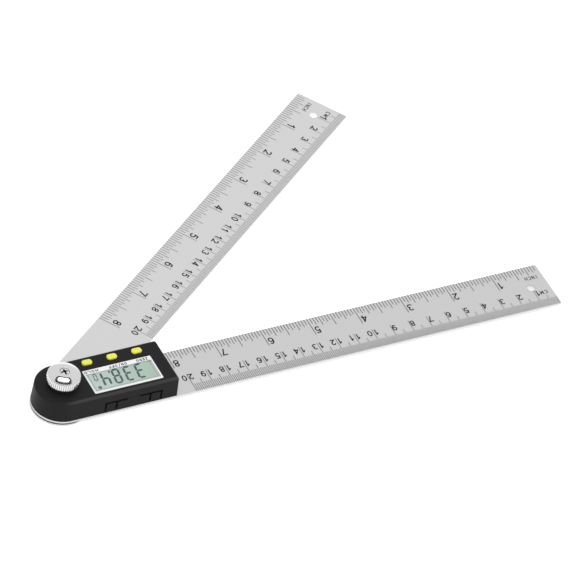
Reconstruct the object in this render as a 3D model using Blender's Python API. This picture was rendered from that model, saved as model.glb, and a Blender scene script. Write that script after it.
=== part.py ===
"""Angle finder with two steel arms, a digital housing and a lock knob.

Frame: metres, +Z up. The origin is on the pivot axis, at the underside of the moving arm. The fixed arm
points along +X and lies above the moving arm, which stands open by REST_ANGLE_DEG.
"""
import math

import bmesh
import bpy
from mathutils import Vector

for old in list(bpy.data.objects):
    bpy.data.objects.remove(old, do_unlink=True)

# Fits
CLEARANCE = 0.0003
SEAT_GAP = 0.00015
SHAFT_GAP = 0.00015
OVERRUN = 0.002
BOOLEAN_BITE = 0.0002

# Arms
ARM_REACH = 0.2656
ARM_WIDTH = 0.028
ARM_THICKNESS = 0.001
ARM_GAP = 0.0008
ARM_CORNER_RADIUS = 0.0006
ARM_EDGE_BREAK = 0.0001
HANGING_HOLE_RADIUS = 0.002
HANGING_HOLE_INSET = 0.0098
REST_ANGLE_DEG = 35.05

# Pivot
BOLT_HEAD_RADIUS = 0.0064
BOLT_SHANK_RADIUS = 0.004
BOLT_KEY_RADIUS = 0.0034
BOLT_FLAT_OFFSET = 0.0028
BOLT_THREAD_RADIUS = 0.003
BUSH_RADIUS = 0.0052
BUSH_FLANGE_RADIUS = 0.007
BUSH_FLANGE_THICKNESS = 0.0008
BUSH_NECK_SHARE = 0.39
SPACER_RADIUS = 0.01

# Angle sensor
ROTOR_RADIUS = 0.0086
ROTOR_THICKNESS = 0.0008
ROTOR_BORE_RADIUS = 0.0046
ROTOR_HUB_RADIUS = 0.0052
SENSOR_AIR_GAP = 0.0005

# Housing cover
HOUSING_HEIGHT = 0.0113
HOUSING_SIDE_STEP = 0.0002
HOUSING_END_BLOCK = 0.00865
HOUSING_DRAFT = 0.0004
HOUSING_FILLET = 0.0013
HOUSING_CORNER_RADIUS = 0.001
HOUSING_INNER_CORNER_RADIUS = 0.0003
HOUSING_WALL = 0.0014
COLLAR_WALL = 0.0024
SCREW_BOSS_RADIUS = 0.0017
LEFT_BOSS_X = 0.0096
RIGHT_BOSS_INSET_X = 0.0033
BOSS_INSET_Y = 0.0026

# Housing base
BASE_THICKNESS = 0.0008
RAIL_THICKNESS = 0.001
RAIL_HEIGHT = 0.0028
POST_RADIUS = 0.0011
POST_MARGIN = 0.0007
POST_INSET_Y = 0.0048

# Board and what stands on it
BOARD_DEPTH = 0.0052
BOARD_THICKNESS = 0.0008
BOARD_MARGIN = 0.0005
CHIP_WIDTH_SHARE = 0.24
CHIP_HEIGHT = 0.0009
CHIP_OFFSET_X = 0.004
DOME_SHEET_THICKNESS = 0.00015
DOME_SHEET_WIDTH = 0.0042
DOME_RADIUS = 0.002
DOME_HEIGHT = 0.0002

# Display
FRAME_START_X = 0.0121
FRAME_INSET_Y = 0.003
FRAME_LENGTH = 0.0357
FRAME_KEY_DISTANCE = 0.0047
FRAME_CORNER_RADIUS = 0.0004
FRAME_THICKNESS = 0.0004
FRAME_PROUD = 0.0001
FRAME_SIDE_BORDER = 0.0008
FRAME_NEAR_BORDER = 0.0011
FRAME_LABEL_BORDER = 0.0026
FRAME_LEDGE = 0.0005
WINDOW_THICKNESS = 0.0003
WINDOW_SUNK = 0.0001
LCD_GLASS_THICKNESS = 0.0009
LCD_CONTACT_LEDGE = 0.0018
ZEBRA_WIDTH = 0.0014
CUSHION_WIDTH = 0.0012

# Keys
KEY_COUNT = 3
KEY_LENGTH = 0.0051
KEY_WIDTH = 0.0032
KEY_CORNER_RADIUS = 0.0013
KEY_PITCH = 0.013
KEY_INSET_Y = 0.0045
KEY_PROUD = 0.0008
KEY_CROWN = 0.0004
KEY_TRAVEL = 0.0006
KEY_LIP = 0.0007
KEY_LIP_THICKNESS = 0.0008
KEY_STEM_RADIUS = 0.0012

# Battery cell and drawer
CELL_SIDE_ROOM = 0.0024
CELL_HEADROOM = 0.00115
CELL_CAP_STEP = 0.0011
CELL_CAP_HEIGHT = 0.0006
CELL_EDGE_BREAK = 0.0003
DRAWER_OFFSET_X = 0.00185
DRAWER_HALF_WIDTH = 0.0141
DRAWER_END_GAP = 0.0009
DRAWER_HEIGHT = 0.0062
DRAWER_SLOT = 0.001
DRAWER_BRIDGE_HALF = 0.0033
DRAWER_TAB_SLOT_INSET = 0.00265
DRAWER_TAB_SLOT_FOOT = 0.0007
DRAWER_FLOOR = 0.0005
DRAWER_RIM = 0.0008
DRAWER_RIM_HEIGHT = 0.0024
DRAWER_NOTCH_HALF = 0.0024

# Sprung contacts
CONTACT_THICKNESS = 0.0002
CONTACT_WIDTH = 0.003
CONTACT_PAD = 0.0026
CONTACT_REACH = 0.0075
CONTACT_TOUCH = 0.0015
CONTACT_HEEL = 0.0007

# Screws
SCREW_RADIUS = 0.0008
SCREW_HEAD_RADIUS = 0.0016
SCREW_LENGTH = 0.0065

# Knob
KNOB_WASHER_RADIUS = 0.0065
KNOB_WASHER_THICKNESS = 0.0006
KNOB_HUB_RADIUS = 0.0052
KNOB_HUB_HEIGHT = 0.0021
KNOB_RADIUS = 0.0083
KNOB_RIM_HEIGHT = 0.0037
KNOB_TOOTH_DEPTH = 0.0004
KNOB_TEETH = 50
KNOB_EDGE_BREAK = 0.0003
KNOB_CROWN = 0.0018
KNOB_RECESS_RADIUS = 0.0023
KNOB_RECESS_DEPTH = 0.0013
KNOB_WEB = 0.0005
KNOB_SCREW_HEAD_RADIUS = 0.0021
KNOB_SCREW_HEAD_HEIGHT = 0.0008
KNOB_SCREW_RADIUS = 0.0012
KNOB_SCREW_LENGTH = 0.0066
KNOB_SCREW_SLOT = 0.0007
KNOB_SCREW_SLOT_REACH = 0.0014
KNOB_SCREW_SLOT_DEPTH = 0.0006

# Heights, from the underside of the moving arm upwards
FIXED_BOTTOM = ARM_THICKNESS + ARM_GAP
FIXED_TOP = FIXED_BOTTOM + ARM_THICKNESS
COVER_BOTTOM = FIXED_TOP + SEAT_GAP
COVER_TOP = FIXED_TOP + HOUSING_HEIGHT
CEILING = COVER_TOP - HOUSING_WALL
BASE_BOTTOM = FIXED_TOP + SEAT_GAP
BASE_TOP = BASE_BOTTOM + BASE_THICKNESS
BUSH_FLANGE_TOP = BASE_BOTTOM + BUSH_FLANGE_THICKNESS
BOARD_BOTTOM = COVER_TOP - BOARD_DEPTH
BOARD_TOP = BOARD_BOTTOM + BOARD_THICKNESS
ROTOR_TOP = BOARD_BOTTOM - SENSOR_AIR_GAP
ROTOR_BOTTOM = ROTOR_TOP - ROTOR_THICKNESS
BUSH_TOP = BUSH_FLANGE_TOP + BUSH_NECK_SHARE * (ROTOR_BOTTOM - BUSH_FLANGE_TOP)
HUB_BOTTOM = BUSH_TOP + SEAT_GAP
FRAME_TOP = COVER_TOP + FRAME_PROUD
FRAME_BOTTOM = FRAME_TOP - FRAME_THICKNESS
WINDOW_TOP = FRAME_TOP - WINDOW_SUNK
WINDOW_BOTTOM = WINDOW_TOP - WINDOW_THICKNESS
LCD_TOP = FRAME_BOTTOM - SEAT_GAP
LCD_BOTTOM = LCD_TOP - LCD_GLASS_THICKNESS - LCD_GLASS_THICKNESS
STRIP_BOTTOM = BOARD_TOP + SEAT_GAP
STRIP_TOP = LCD_BOTTOM - SEAT_GAP
DOME_TOP = STRIP_BOTTOM + DOME_SHEET_THICKNESS + DOME_HEIGHT
KEY_STEM_BOTTOM = DOME_TOP + KEY_TRAVEL + SEAT_GAP
DRAWER_FLOOR_BOTTOM = BASE_TOP + SEAT_GAP
DRAWER_FLOOR_TOP = DRAWER_FLOOR_BOTTOM + DRAWER_FLOOR
CELL_BOTTOM = DRAWER_FLOOR_TOP + SEAT_GAP
CELL_TOP = BOARD_BOTTOM - CELL_HEADROOM
WASHER_BOTTOM = COVER_TOP + SEAT_GAP
WASHER_TOP = WASHER_BOTTOM + KNOB_WASHER_THICKNESS
KNOB_BOTTOM = WASHER_TOP + SEAT_GAP
RIM_BOTTOM = KNOB_BOTTOM + KNOB_HUB_HEIGHT
RIM_TOP = RIM_BOTTOM + KNOB_RIM_HEIGHT
KNOB_TOP = RIM_TOP + KNOB_CROWN
RECESS_FLOOR = KNOB_TOP - KNOB_RECESS_DEPTH
KNOB_BORE_TOP = RECESS_FLOOR - KNOB_WEB
BOLT_TOP = KNOB_BORE_TOP - CLEARANCE
BOLT_KEY_TOP = WASHER_TOP
KNOB_SCREW_HEAD_BOTTOM = RECESS_FLOOR + CLEARANCE

# Places in plan
ARM_HALF = ARM_WIDTH / 2
HOUSING_HALF_WIDTH = ARM_HALF - HOUSING_SIDE_STEP
BOSS_Y = HOUSING_HALF_WIDTH - BOSS_INSET_Y
POST_SPREAD_Y = HOUSING_HALF_WIDTH - POST_INSET_Y
KEY_CENTRE_Y = HOUSING_HALF_WIDTH - KEY_INSET_Y
FRAME_NEAR_Y = FRAME_INSET_Y - HOUSING_HALF_WIDTH
FRAME_FAR_Y = KEY_CENTRE_Y - FRAME_KEY_DISTANCE
FRAME_CENTRE_Y = (FRAME_NEAR_Y + FRAME_FAR_Y) / 2
FRAME_WIDTH = FRAME_FAR_Y - FRAME_NEAR_Y
CELL_RADIUS = HOUSING_HALF_WIDTH - HOUSING_WALL - CELL_SIDE_ROOM
CELL_CAP_RADIUS = CELL_RADIUS - CELL_CAP_STEP
FRAME_CENTRE_X = FRAME_START_X + FRAME_LENGTH / 2
DRAWER_CENTRE_X = FRAME_CENTRE_X + DRAWER_OFFSET_X
DRAWER_OPENING_HALF = DRAWER_HALF_WIDTH + DRAWER_END_GAP
HOUSING_LENGTH = DRAWER_CENTRE_X + DRAWER_OPENING_HALF + HOUSING_END_BLOCK
POST_SPREAD_X = DRAWER_OPENING_HALF + POST_MARGIN + POST_RADIUS
DRAWER_FRONT_Y = HOUSING_WALL - HOUSING_HALF_WIDTH
CELL_POCKET_RADIUS = CELL_RADIUS + SHAFT_GAP
CELL_CENTRE_Y = DRAWER_FRONT_Y + BOOLEAN_BITE + CELL_POCKET_RADIUS
DRAWER_FRAME_HALF = CELL_POCKET_RADIUS + DRAWER_RIM
DRAWER_BACK_Y = CELL_CENTRE_Y + DRAWER_FRAME_HALF
DRAWER_TAB_SLOT_START = DRAWER_FRAME_HALF - DRAWER_TAB_SLOT_INSET
LCD_LENGTH = FRAME_LENGTH - 2 * (FRAME_LEDGE + SHAFT_GAP)
LCD_WIDTH = FRAME_WIDTH - 2 * (FRAME_LEDGE + SHAFT_GAP)
CHIP_RADIUS = LCD_WIDTH * CHIP_WIDTH_SHARE
FRAME_HOLE_LENGTH = FRAME_LENGTH - 2 * FRAME_SIDE_BORDER
FRAME_HOLE_WIDTH = FRAME_WIDTH - FRAME_NEAR_BORDER - FRAME_LABEL_BORDER
FRAME_HOLE_Y = (FRAME_NEAR_BORDER - FRAME_LABEL_BORDER) / 2
KEY_CENTRES_X = [FRAME_CENTRE_X + (index - (KEY_COUNT - 1) / 2) * KEY_PITCH for index in range(KEY_COUNT)]
KEY_NAMES = ["key_hold", "key_power", "key_zero"]


# Outlines, as lists of points that run anticlockwise

def arc(centre, radius, start_deg, end_deg, steps):
    """Points along an arc, both ends included."""
    points = []
    for step in range(steps + 1):
        angle = math.radians(start_deg + (end_deg - start_deg) * step / steps)
        points.append((centre[0] + radius * math.cos(angle), centre[1] + radius * math.sin(angle)))
    return points


def circle(radius, steps, centre=(0, 0)):
    return arc(centre, radius, 0, 360, steps)[:-1]


def rounded_rectangle(length, width, radius, centre=(0, 0), corner_steps=3):
    """A rectangle with round corners."""
    points = []
    for index, (side_x, side_y) in enumerate([(1, 1), (-1, 1), (-1, -1), (1, -1)]):
        corner = (centre[0] + side_x * (length / 2 - radius), centre[1] + side_y * (width / 2 - radius))
        points += arc(corner, radius, 90 * index, 90 * index + 90, corner_steps)
    return points


def round_ended(half_width, reach, corner_radius, end_steps, corner_steps=3):
    """A strip with a half circle about the origin at one end and square corners at x = reach."""
    corner_x = reach - corner_radius
    corner_y = half_width - corner_radius
    points = arc((0, 0), half_width, 90, 270, end_steps)
    points += arc((corner_x, -corner_y), corner_radius, 270, 360, corner_steps)
    points += arc((corner_x, corner_y), corner_radius, 0, 90, corner_steps)
    return points


def keyed_circle(radius, flat_offset, steps):
    """A circle cut off by a flat at x = flat_offset."""
    half_angle = math.degrees(math.acos(flat_offset / radius))
    return arc((0, 0), radius, half_angle, 360 - half_angle, steps)


def knurl_ring(tip_radius, depth):
    """One ring of the knob's straight knurl: flat-topped teeth and narrow grooves."""
    points = []
    tooth_shares = [(0.0, 0), (0.45, 0), (0.62, 1), (0.83, 1)]
    for tooth in range(KNOB_TEETH):
        for share, groove in tooth_shares:
            angle = 2 * math.pi * (tooth + share) / KNOB_TEETH
            radius = tip_radius - groove * depth
            points.append((radius * math.cos(angle), radius * math.sin(angle)))
    return points


# Solids

def add_layers(mesh, levels):
    """Skin a stack of outlines. Each level is a height and its loops: the outer one, then the holes."""
    rings = []
    for height, loops in levels:
        rings.append([[mesh.verts.new((x, y, height)) for x, y in loop] for loop in loops])
    for lower, upper in zip(rings, rings[1:]):
        for low_loop, high_loop in zip(lower, upper):
            count = len(low_loop)
            for index in range(count):
                after = (index + 1) % count
                mesh.faces.new((low_loop[index], low_loop[after], high_loop[after], high_loop[index]))
    for cap, direction in ((rings[0], -1), (rings[-1], 1)):
        edges = []
        for loop in cap:
            edges += [mesh.edges.get((loop[i - 1], loop[i])) for i in range(len(loop))]
        bmesh.ops.triangle_fill(mesh, use_beauty=True, edges=edges, normal=Vector((0, 0, direction)))
    return mesh


def add_prism(mesh, loops, bottom, top):
    return add_layers(mesh, [(bottom, loops), (top, loops)])


def add_box(mesh, low, high):
    """A plain block between two corners."""
    loop = [(low[0], low[1]), (high[0], low[1]), (high[0], high[1]), (low[0], high[1])]
    return add_prism(mesh, [loop], low[2], high[2])


def add_turned(mesh, profile, steps, centre=(0, 0), ring=False):
    """Turn a profile of (radius, height) points about a vertical axis. A ring's profile is a closed loop."""
    rings = []
    for radius, height in profile:
        if radius == 0:
            rings.append([mesh.verts.new((centre[0], centre[1], height))])
        else:
            rings.append([mesh.verts.new((x, y, height)) for x, y in circle(radius, steps, centre)])
    pairs = list(zip(rings, rings[1:]))
    if ring:
        pairs.append((rings[-1], rings[0]))
    for first, second in pairs:
        for index in range(steps):
            after = (index + 1) % steps
            corners = [first[index % len(first)], first[after % len(first)],
                       second[after % len(second)], second[index % len(second)]]
            mesh.faces.new(list(dict.fromkeys(corners)))
    return mesh


def add_cylinder(mesh, radius, bottom, top, steps, centre=(0, 0)):
    return add_prism(mesh, [circle(radius, steps, centre)], bottom, top)


def add_ring(mesh, inner_radius, outer_radius, bottom, top, steps):
    return add_prism(mesh, [circle(outer_radius, steps), circle(inner_radius, steps)], bottom, top)


def add_side_prism(mesh, outline, near_y, far_y):
    """Extrude an outline of (x, z) points along Y."""
    rings = [[mesh.verts.new((x, y, z)) for x, z in outline] for y in (near_y, far_y)]
    for index in range(len(outline)):
        after = (index + 1) % len(outline)
        mesh.faces.new((rings[0][index], rings[0][after], rings[1][after], rings[1][index]))
    for ring in rings:
        mesh.faces.new(ring)
    return mesh


def add_bent_strip(mesh, path, thickness, width):
    """A strip of sheet bent along a path of (x, z) points, its width along Y about zero."""
    offsets = []
    for index, point in enumerate(path):
        before = Vector(path[max(index - 1, 0)])
        after = Vector(path[min(index + 1, len(path) - 1)])
        run = (after - before).normalized()
        offsets.append((point[0] - run.y * thickness, point[1] + run.x * thickness))
    return add_side_prism(mesh, list(path) + offsets[::-1], -width / 2, width / 2)


# Objects

def finish(name, colour, roughness, metallic=0.0):
    """A plain material for one piece."""
    material = bpy.data.materials.new(name)
    material.use_nodes = True
    shader = material.node_tree.nodes["Principled BSDF"]
    shader.inputs["Base Color"].default_value = (*colour, 1.0)
    shader.inputs["Roughness"].default_value = roughness
    shader.inputs["Metallic"].default_value = metallic
    return material


def place(name, mesh, parent=None, location=(0, 0, 0)):
    """Make an object of a bmesh, with its faces pointing out."""
    bmesh.ops.recalc_face_normals(mesh, faces=mesh.faces)
    data = bpy.data.meshes.new(name)
    mesh.to_mesh(data)
    mesh.free()
    piece = bpy.data.objects.new(name, data)
    bpy.context.collection.objects.link(piece)
    piece.parent = parent
    piece.location = location
    return piece


def piece(name, mesh, colour, roughness, metallic=0.0, parent=None, location=(0, 0, 0)):
    """A named part of the object, shaded smooth over its gentle angles."""
    made = place(name, mesh, parent, location)
    made.data.materials.append(finish(name, colour, roughness, metallic))
    made.data.shade_smooth()
    made.data.set_sharp_from_angle(angle=math.radians(35))
    return made


def combine(target, mesh, operation, label):
    """Cut the target with a mesh, or join the mesh to it."""
    tool = place(f"{target.name}.{label}", mesh, target.parent, target.location)
    tool.hide_render = True
    tool.display_type = "WIRE"
    modifier = target.modifiers.new(label, "BOOLEAN")
    modifier.operation = operation
    modifier.object = tool
    modifier.solver = "EXACT"


def joint_empty(name, location=(0, 0, 0), turn_deg=0):
    empty = bpy.data.objects.new(name, None)
    bpy.context.collection.objects.link(empty)
    empty.location = location
    empty.rotation_euler = (0, 0, math.radians(turn_deg))
    return empty


STEEL = (0.62, 0.62, 0.62)
CHROME = (0.75, 0.75, 0.76)
BRASS = (0.62, 0.45, 0.17)
BLACK_PLASTIC = (0.02, 0.02, 0.022)
GREY_PLASTIC = (0.06, 0.06, 0.065)
WHITE_PLASTIC = (0.88, 0.88, 0.9)
YELLOW_PLASTIC = (0.88, 0.86, 0.07)
LCD_GREEN = (0.45, 0.6, 0.55)
BOARD_GREEN = (0.03, 0.18, 0.07)

housing = joint_empty("housing_frame")
arm_pivot = joint_empty("arm_pivot", turn_deg=REST_ANGLE_DEG)
knob_pivot = joint_empty("knob_pivot")
drawer_slide = joint_empty("drawer_slide", (DRAWER_CENTRE_X, CELL_CENTRE_Y, 0))


# Arms

def screw_places():
    """The four housing screws: two between the pivot and the display, and two at the square end."""
    right_x = HOUSING_LENGTH - RIGHT_BOSS_INSET_X
    return [(LEFT_BOSS_X, BOSS_Y), (LEFT_BOSS_X, -BOSS_Y), (right_x, -BOSS_Y), (right_x, BOSS_Y)]


def arm_levels(bottom, holes_low, holes_high):
    """The rule's section: its outline with lightly broken edges, and the circles of each hole."""
    outlines = []
    for inset in (ARM_EDGE_BREAK, 0):
        outlines.append(round_ended(ARM_HALF - inset, ARM_REACH - inset, ARM_CORNER_RADIUS, 32))
    top = bottom + ARM_THICKNESS
    shares = [0, ARM_EDGE_BREAK / ARM_THICKNESS, 1 - ARM_EDGE_BREAK / ARM_THICKNESS, 1]
    levels = []
    for share, outline in zip(shares, outlines + outlines[::-1]):
        loops = [outline]
        for (centre, low_radius, steps), (_, high_radius, _) in zip(holes_low, holes_high):
            loops.append(circle(low_radius + share * (high_radius - low_radius), steps, centre))
        levels.append((bottom + share * (top - bottom), loops))
    return levels


def hanging_hole():
    return ((ARM_REACH - HANGING_HOLE_INSET, 0), HANGING_HOLE_RADIUS, 24)


def make_fixed_arm():
    """The upper rule: a bush hole, a hanging hole and four countersinks on its underside."""
    low = [((0, 0), BUSH_RADIUS + SHAFT_GAP, 40), hanging_hole()]
    high = list(low)
    for place_xy in screw_places():
        low.append((place_xy, SCREW_HEAD_RADIUS + SHAFT_GAP, 16))
        high.append((place_xy, SCREW_RADIUS + SHAFT_GAP, 16))
    mesh = add_layers(bmesh.new(), arm_levels(FIXED_BOTTOM, low, high))
    piece("fixed_arm", mesh, STEEL, 0.35, 1.0, housing)


def make_moving_arm():
    """The lower rule: its pivot hole is countersunk, so the bolt's head lies flush underneath."""
    low = [((0, 0), BOLT_HEAD_RADIUS + SHAFT_GAP, 40), hanging_hole()]
    high = [((0, 0), BOLT_SHANK_RADIUS + SHAFT_GAP, 40), hanging_hole()]
    mesh = add_layers(bmesh.new(), arm_levels(0, low, high))
    piece("moving_arm", mesh, STEEL, 0.35, 1.0, arm_pivot)


# Pivot

def make_pivot_bolt():
    """A stepped shaft: flush head, running shank, keyed length for the sensor, thread for the knob."""
    hole_radius = KNOB_SCREW_RADIUS + SHAFT_GAP
    hole_bottom = KNOB_SCREW_HEAD_BOTTOM - KNOB_SCREW_LENGTH - CLEARANCE
    profile = [(0, 0), (BOLT_HEAD_RADIUS, 0), (BOLT_SHANK_RADIUS, ARM_THICKNESS),
               (BOLT_SHANK_RADIUS, HUB_BOTTOM - SEAT_GAP), (BOLT_KEY_RADIUS, HUB_BOTTOM - SEAT_GAP),
               (BOLT_KEY_RADIUS, BOLT_KEY_TOP), (BOLT_THREAD_RADIUS, BOLT_KEY_TOP),
               (BOLT_THREAD_RADIUS, BOLT_TOP - KNOB_EDGE_BREAK),
               (BOLT_THREAD_RADIUS - KNOB_EDGE_BREAK, BOLT_TOP), (hole_radius, BOLT_TOP),
               (hole_radius, hole_bottom), (0, hole_bottom)]
    bolt = piece("pivot_bolt", add_turned(bmesh.new(), profile, 40), STEEL, 0.3, 1.0, arm_pivot)
    flat = add_box(bmesh.new(), (BOLT_FLAT_OFFSET, -BOLT_KEY_RADIUS, HUB_BOTTOM - SEAT_GAP),
                   (BOLT_KEY_RADIUS + OVERRUN, BOLT_KEY_RADIUS, BOLT_KEY_TOP))
    combine(bolt, flat, "DIFFERENCE", "flat")


def make_pivot_bush():
    bore = BOLT_SHANK_RADIUS + SHAFT_GAP
    profile = [(bore, FIXED_BOTTOM), (BUSH_RADIUS, FIXED_BOTTOM), (BUSH_RADIUS, BASE_BOTTOM),
               (BUSH_FLANGE_RADIUS, BASE_BOTTOM), (BUSH_FLANGE_RADIUS, BUSH_FLANGE_TOP),
               (BUSH_RADIUS, BUSH_FLANGE_TOP), (BUSH_RADIUS, BUSH_TOP), (bore, BUSH_TOP)]
    piece("pivot_bush", add_turned(bmesh.new(), profile, 40, ring=True), BRASS, 0.35, 1.0, housing)


def make_washers():
    """The spacer that keeps the arms apart, and the washer that the knob bears on."""
    spacer = add_ring(bmesh.new(), BOLT_SHANK_RADIUS + SHAFT_GAP, SPACER_RADIUS,
                      ARM_THICKNESS + SEAT_GAP, FIXED_BOTTOM - SEAT_GAP, 40)
    piece("spacer_washer", spacer, (0.5, 0.5, 0.48), 0.5, parent=housing)
    washer = add_ring(bmesh.new(), BOLT_KEY_RADIUS + SHAFT_GAP, KNOB_WASHER_RADIUS,
                      WASHER_BOTTOM, WASHER_TOP, 40)
    piece("knob_washer", washer, BLACK_PLASTIC, 0.5, parent=housing)


def make_angle_sensor():
    """The disc that turns with the bolt under the board, and the keyed hub that carries it."""
    steps = 40
    key_hole = keyed_circle(BOLT_KEY_RADIUS + SHAFT_GAP, BOLT_FLAT_OFFSET + SHAFT_GAP, steps - 1)
    seat = circle(ROTOR_HUB_RADIUS, steps)
    spigot = circle(ROTOR_BORE_RADIUS - SHAFT_GAP, steps)
    shoulder = ROTOR_BOTTOM - SEAT_GAP
    levels = [(HUB_BOTTOM, [seat, key_hole]), (shoulder, [seat, key_hole]),
              (shoulder, [spigot, key_hole]), (ROTOR_TOP - SEAT_GAP, [spigot, key_hole])]
    piece("rotor_hub", add_layers(bmesh.new(), levels), BRASS, 0.35, 1.0, arm_pivot)
    disc = add_ring(bmesh.new(), ROTOR_BORE_RADIUS, ROTOR_RADIUS, ROTOR_BOTTOM, ROTOR_TOP, steps)
    piece("encoder_rotor", disc, BOARD_GREEN, 0.4, parent=arm_pivot)


# Housing

def housing_outline(inset, height):
    """The cover's outline at a height above its foot: it draws in evenly towards the top."""
    taper = HOUSING_DRAFT * height / HOUSING_HEIGHT
    corner = max(HOUSING_CORNER_RADIUS - inset, HOUSING_INNER_CORNER_RADIUS)
    return round_ended(HOUSING_HALF_WIDTH - inset - taper, HOUSING_LENGTH - inset - taper, corner, 40)


def housing_levels():
    """The outside of the cover: drafted walls and a rounded top edge."""
    wall_height = HOUSING_HEIGHT - HOUSING_FILLET
    levels = [(COVER_BOTTOM, [housing_outline(0, 0)])]
    fillet_steps = 5
    for step in range(fillet_steps + 1):
        angle = math.pi / 2 * step / fillet_steps
        height = wall_height + HOUSING_FILLET * math.sin(angle)
        inset = HOUSING_FILLET * (1 - math.cos(angle))
        levels.append((FIXED_TOP + height, [housing_outline(inset, height)]))
    return levels


def cavity_levels():
    foot = housing_outline(HOUSING_WALL, 0)
    head = housing_outline(HOUSING_WALL, HOUSING_HEIGHT)
    return [(COVER_BOTTOM - OVERRUN, [foot]), (COVER_BOTTOM, [foot]), (CEILING, [head])]


def drawer_opening(mesh):
    """The gap in the near wall that the drawer's front fills."""
    low = (DRAWER_CENTRE_X - DRAWER_OPENING_HALF, -HOUSING_HALF_WIDTH - OVERRUN, COVER_BOTTOM - OVERRUN)
    high = (DRAWER_CENTRE_X + DRAWER_OPENING_HALF, DRAWER_FRONT_Y + HOUSING_DRAFT + BOOLEAN_BITE,
            FIXED_TOP + DRAWER_HEIGHT)
    return add_box(mesh, low, high)


def make_housing_cover():
    """The moulded shell: window, key and pivot openings, a collar round the bolt and four screw bosses."""
    cover = piece("housing_cover", add_layers(bmesh.new(), housing_levels()), BLACK_PLASTIC, 0.4,
                  parent=housing)
    combine(cover, add_layers(bmesh.new(), cavity_levels()), "DIFFERENCE", "cavity")
    bosses = bmesh.new()
    for centre in screw_places():
        add_cylinder(bosses, SCREW_BOSS_RADIUS, COVER_BOTTOM, CEILING + BOOLEAN_BITE, 20, centre)
    collar_radius = BOLT_KEY_RADIUS + SHAFT_GAP + COLLAR_WALL
    add_cylinder(bosses, collar_radius, BOARD_TOP + SEAT_GAP, CEILING + BOOLEAN_BITE, 40)
    combine(cover, bosses, "UNION", "bosses")
    openings = bmesh.new()
    add_cylinder(openings, BOLT_KEY_RADIUS + SHAFT_GAP, BOARD_TOP - OVERRUN, COVER_TOP + OVERRUN, 40)
    for centre in screw_places():
        add_cylinder(openings, SCREW_RADIUS + SHAFT_GAP, COVER_BOTTOM - OVERRUN,
                     FIXED_BOTTOM + SCREW_LENGTH + CLEARANCE, 16, centre)
    for centre_x in KEY_CENTRES_X:
        outline = rounded_rectangle(KEY_LENGTH + 2 * CLEARANCE, KEY_WIDTH + 2 * CLEARANCE,
                                    KEY_CORNER_RADIUS + CLEARANCE, (centre_x, KEY_CENTRE_Y), 4)
        add_prism(openings, [outline], CEILING - OVERRUN, COVER_TOP + OVERRUN)
    combine(cover, openings, "DIFFERENCE", "openings")
    centre = (FRAME_CENTRE_X, FRAME_CENTRE_Y)
    pocket = rounded_rectangle(FRAME_LENGTH + 2 * SHAFT_GAP, FRAME_WIDTH + 2 * SHAFT_GAP,
                               FRAME_CORNER_RADIUS + SHAFT_GAP, centre)
    well = rounded_rectangle(FRAME_LENGTH - 2 * FRAME_LEDGE, FRAME_WIDTH - 2 * FRAME_LEDGE,
                             FRAME_CORNER_RADIUS, centre)
    window = add_layers(bmesh.new(), [(CEILING - OVERRUN, [well]), (FRAME_BOTTOM - SEAT_GAP, [well]),
                                      (FRAME_BOTTOM - SEAT_GAP, [pocket]), (COVER_TOP + OVERRUN, [pocket])])
    combine(cover, window, "DIFFERENCE", "window")
    combine(cover, drawer_opening(bmesh.new()), "DIFFERENCE", "drawer_opening")


def make_housing_base():
    """The floor on the rule: rails at both sides of the drawer and four posts under the board."""
    steps = 40
    outline = housing_outline(HOUSING_WALL + CLEARANCE, HOUSING_DRAFT)
    hole = circle(BUSH_FLANGE_RADIUS + CLEARANCE, steps)
    base = piece("housing_base", add_prism(bmesh.new(), [outline, hole], BASE_BOTTOM, BASE_TOP),
                 GREY_PLASTIC, 0.5, parent=housing)
    upstands = bmesh.new()
    rail_inner = DRAWER_FRAME_HALF + CLEARANCE
    for side in (-1, 1):
        edges = sorted([DRAWER_CENTRE_X + side * rail_inner,
                        DRAWER_CENTRE_X + side * (rail_inner + RAIL_THICKNESS)])
        add_box(upstands, (edges[0], DRAWER_FRONT_Y + 2 * CLEARANCE, BASE_BOTTOM + BOOLEAN_BITE),
                (edges[1], DRAWER_BACK_Y, BASE_TOP + RAIL_HEIGHT))
        for depth in (-1, 1):
            add_cylinder(upstands, POST_RADIUS, BASE_BOTTOM + BOOLEAN_BITE, BOARD_BOTTOM - SEAT_GAP, 16,
                         (DRAWER_CENTRE_X + side * POST_SPREAD_X, depth * POST_SPREAD_Y))
    combine(base, upstands, "UNION", "upstands")
    notches = bmesh.new()
    for centre in screw_places():
        add_cylinder(notches, SCREW_BOSS_RADIUS + CLEARANCE, BASE_BOTTOM - OVERRUN, BASE_TOP + OVERRUN, 20,
                     centre)
    combine(base, notches, "DIFFERENCE", "notches")


def make_housing_screws():
    """Four countersunk screws, flush with the underside of the fixed arm."""
    neck = FIXED_TOP
    profile = [(0, FIXED_BOTTOM), (SCREW_HEAD_RADIUS, FIXED_BOTTOM), (SCREW_RADIUS, neck),
               (SCREW_RADIUS, FIXED_BOTTOM + SCREW_LENGTH), (0, FIXED_BOTTOM + SCREW_LENGTH)]
    for index, (x, y) in enumerate(screw_places()):
        piece(f"housing_screw_{index + 1}", add_turned(bmesh.new(), profile, 16), STEEL, 0.3, 1.0,
              housing, (x, y, 0))


# Electronics

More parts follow.
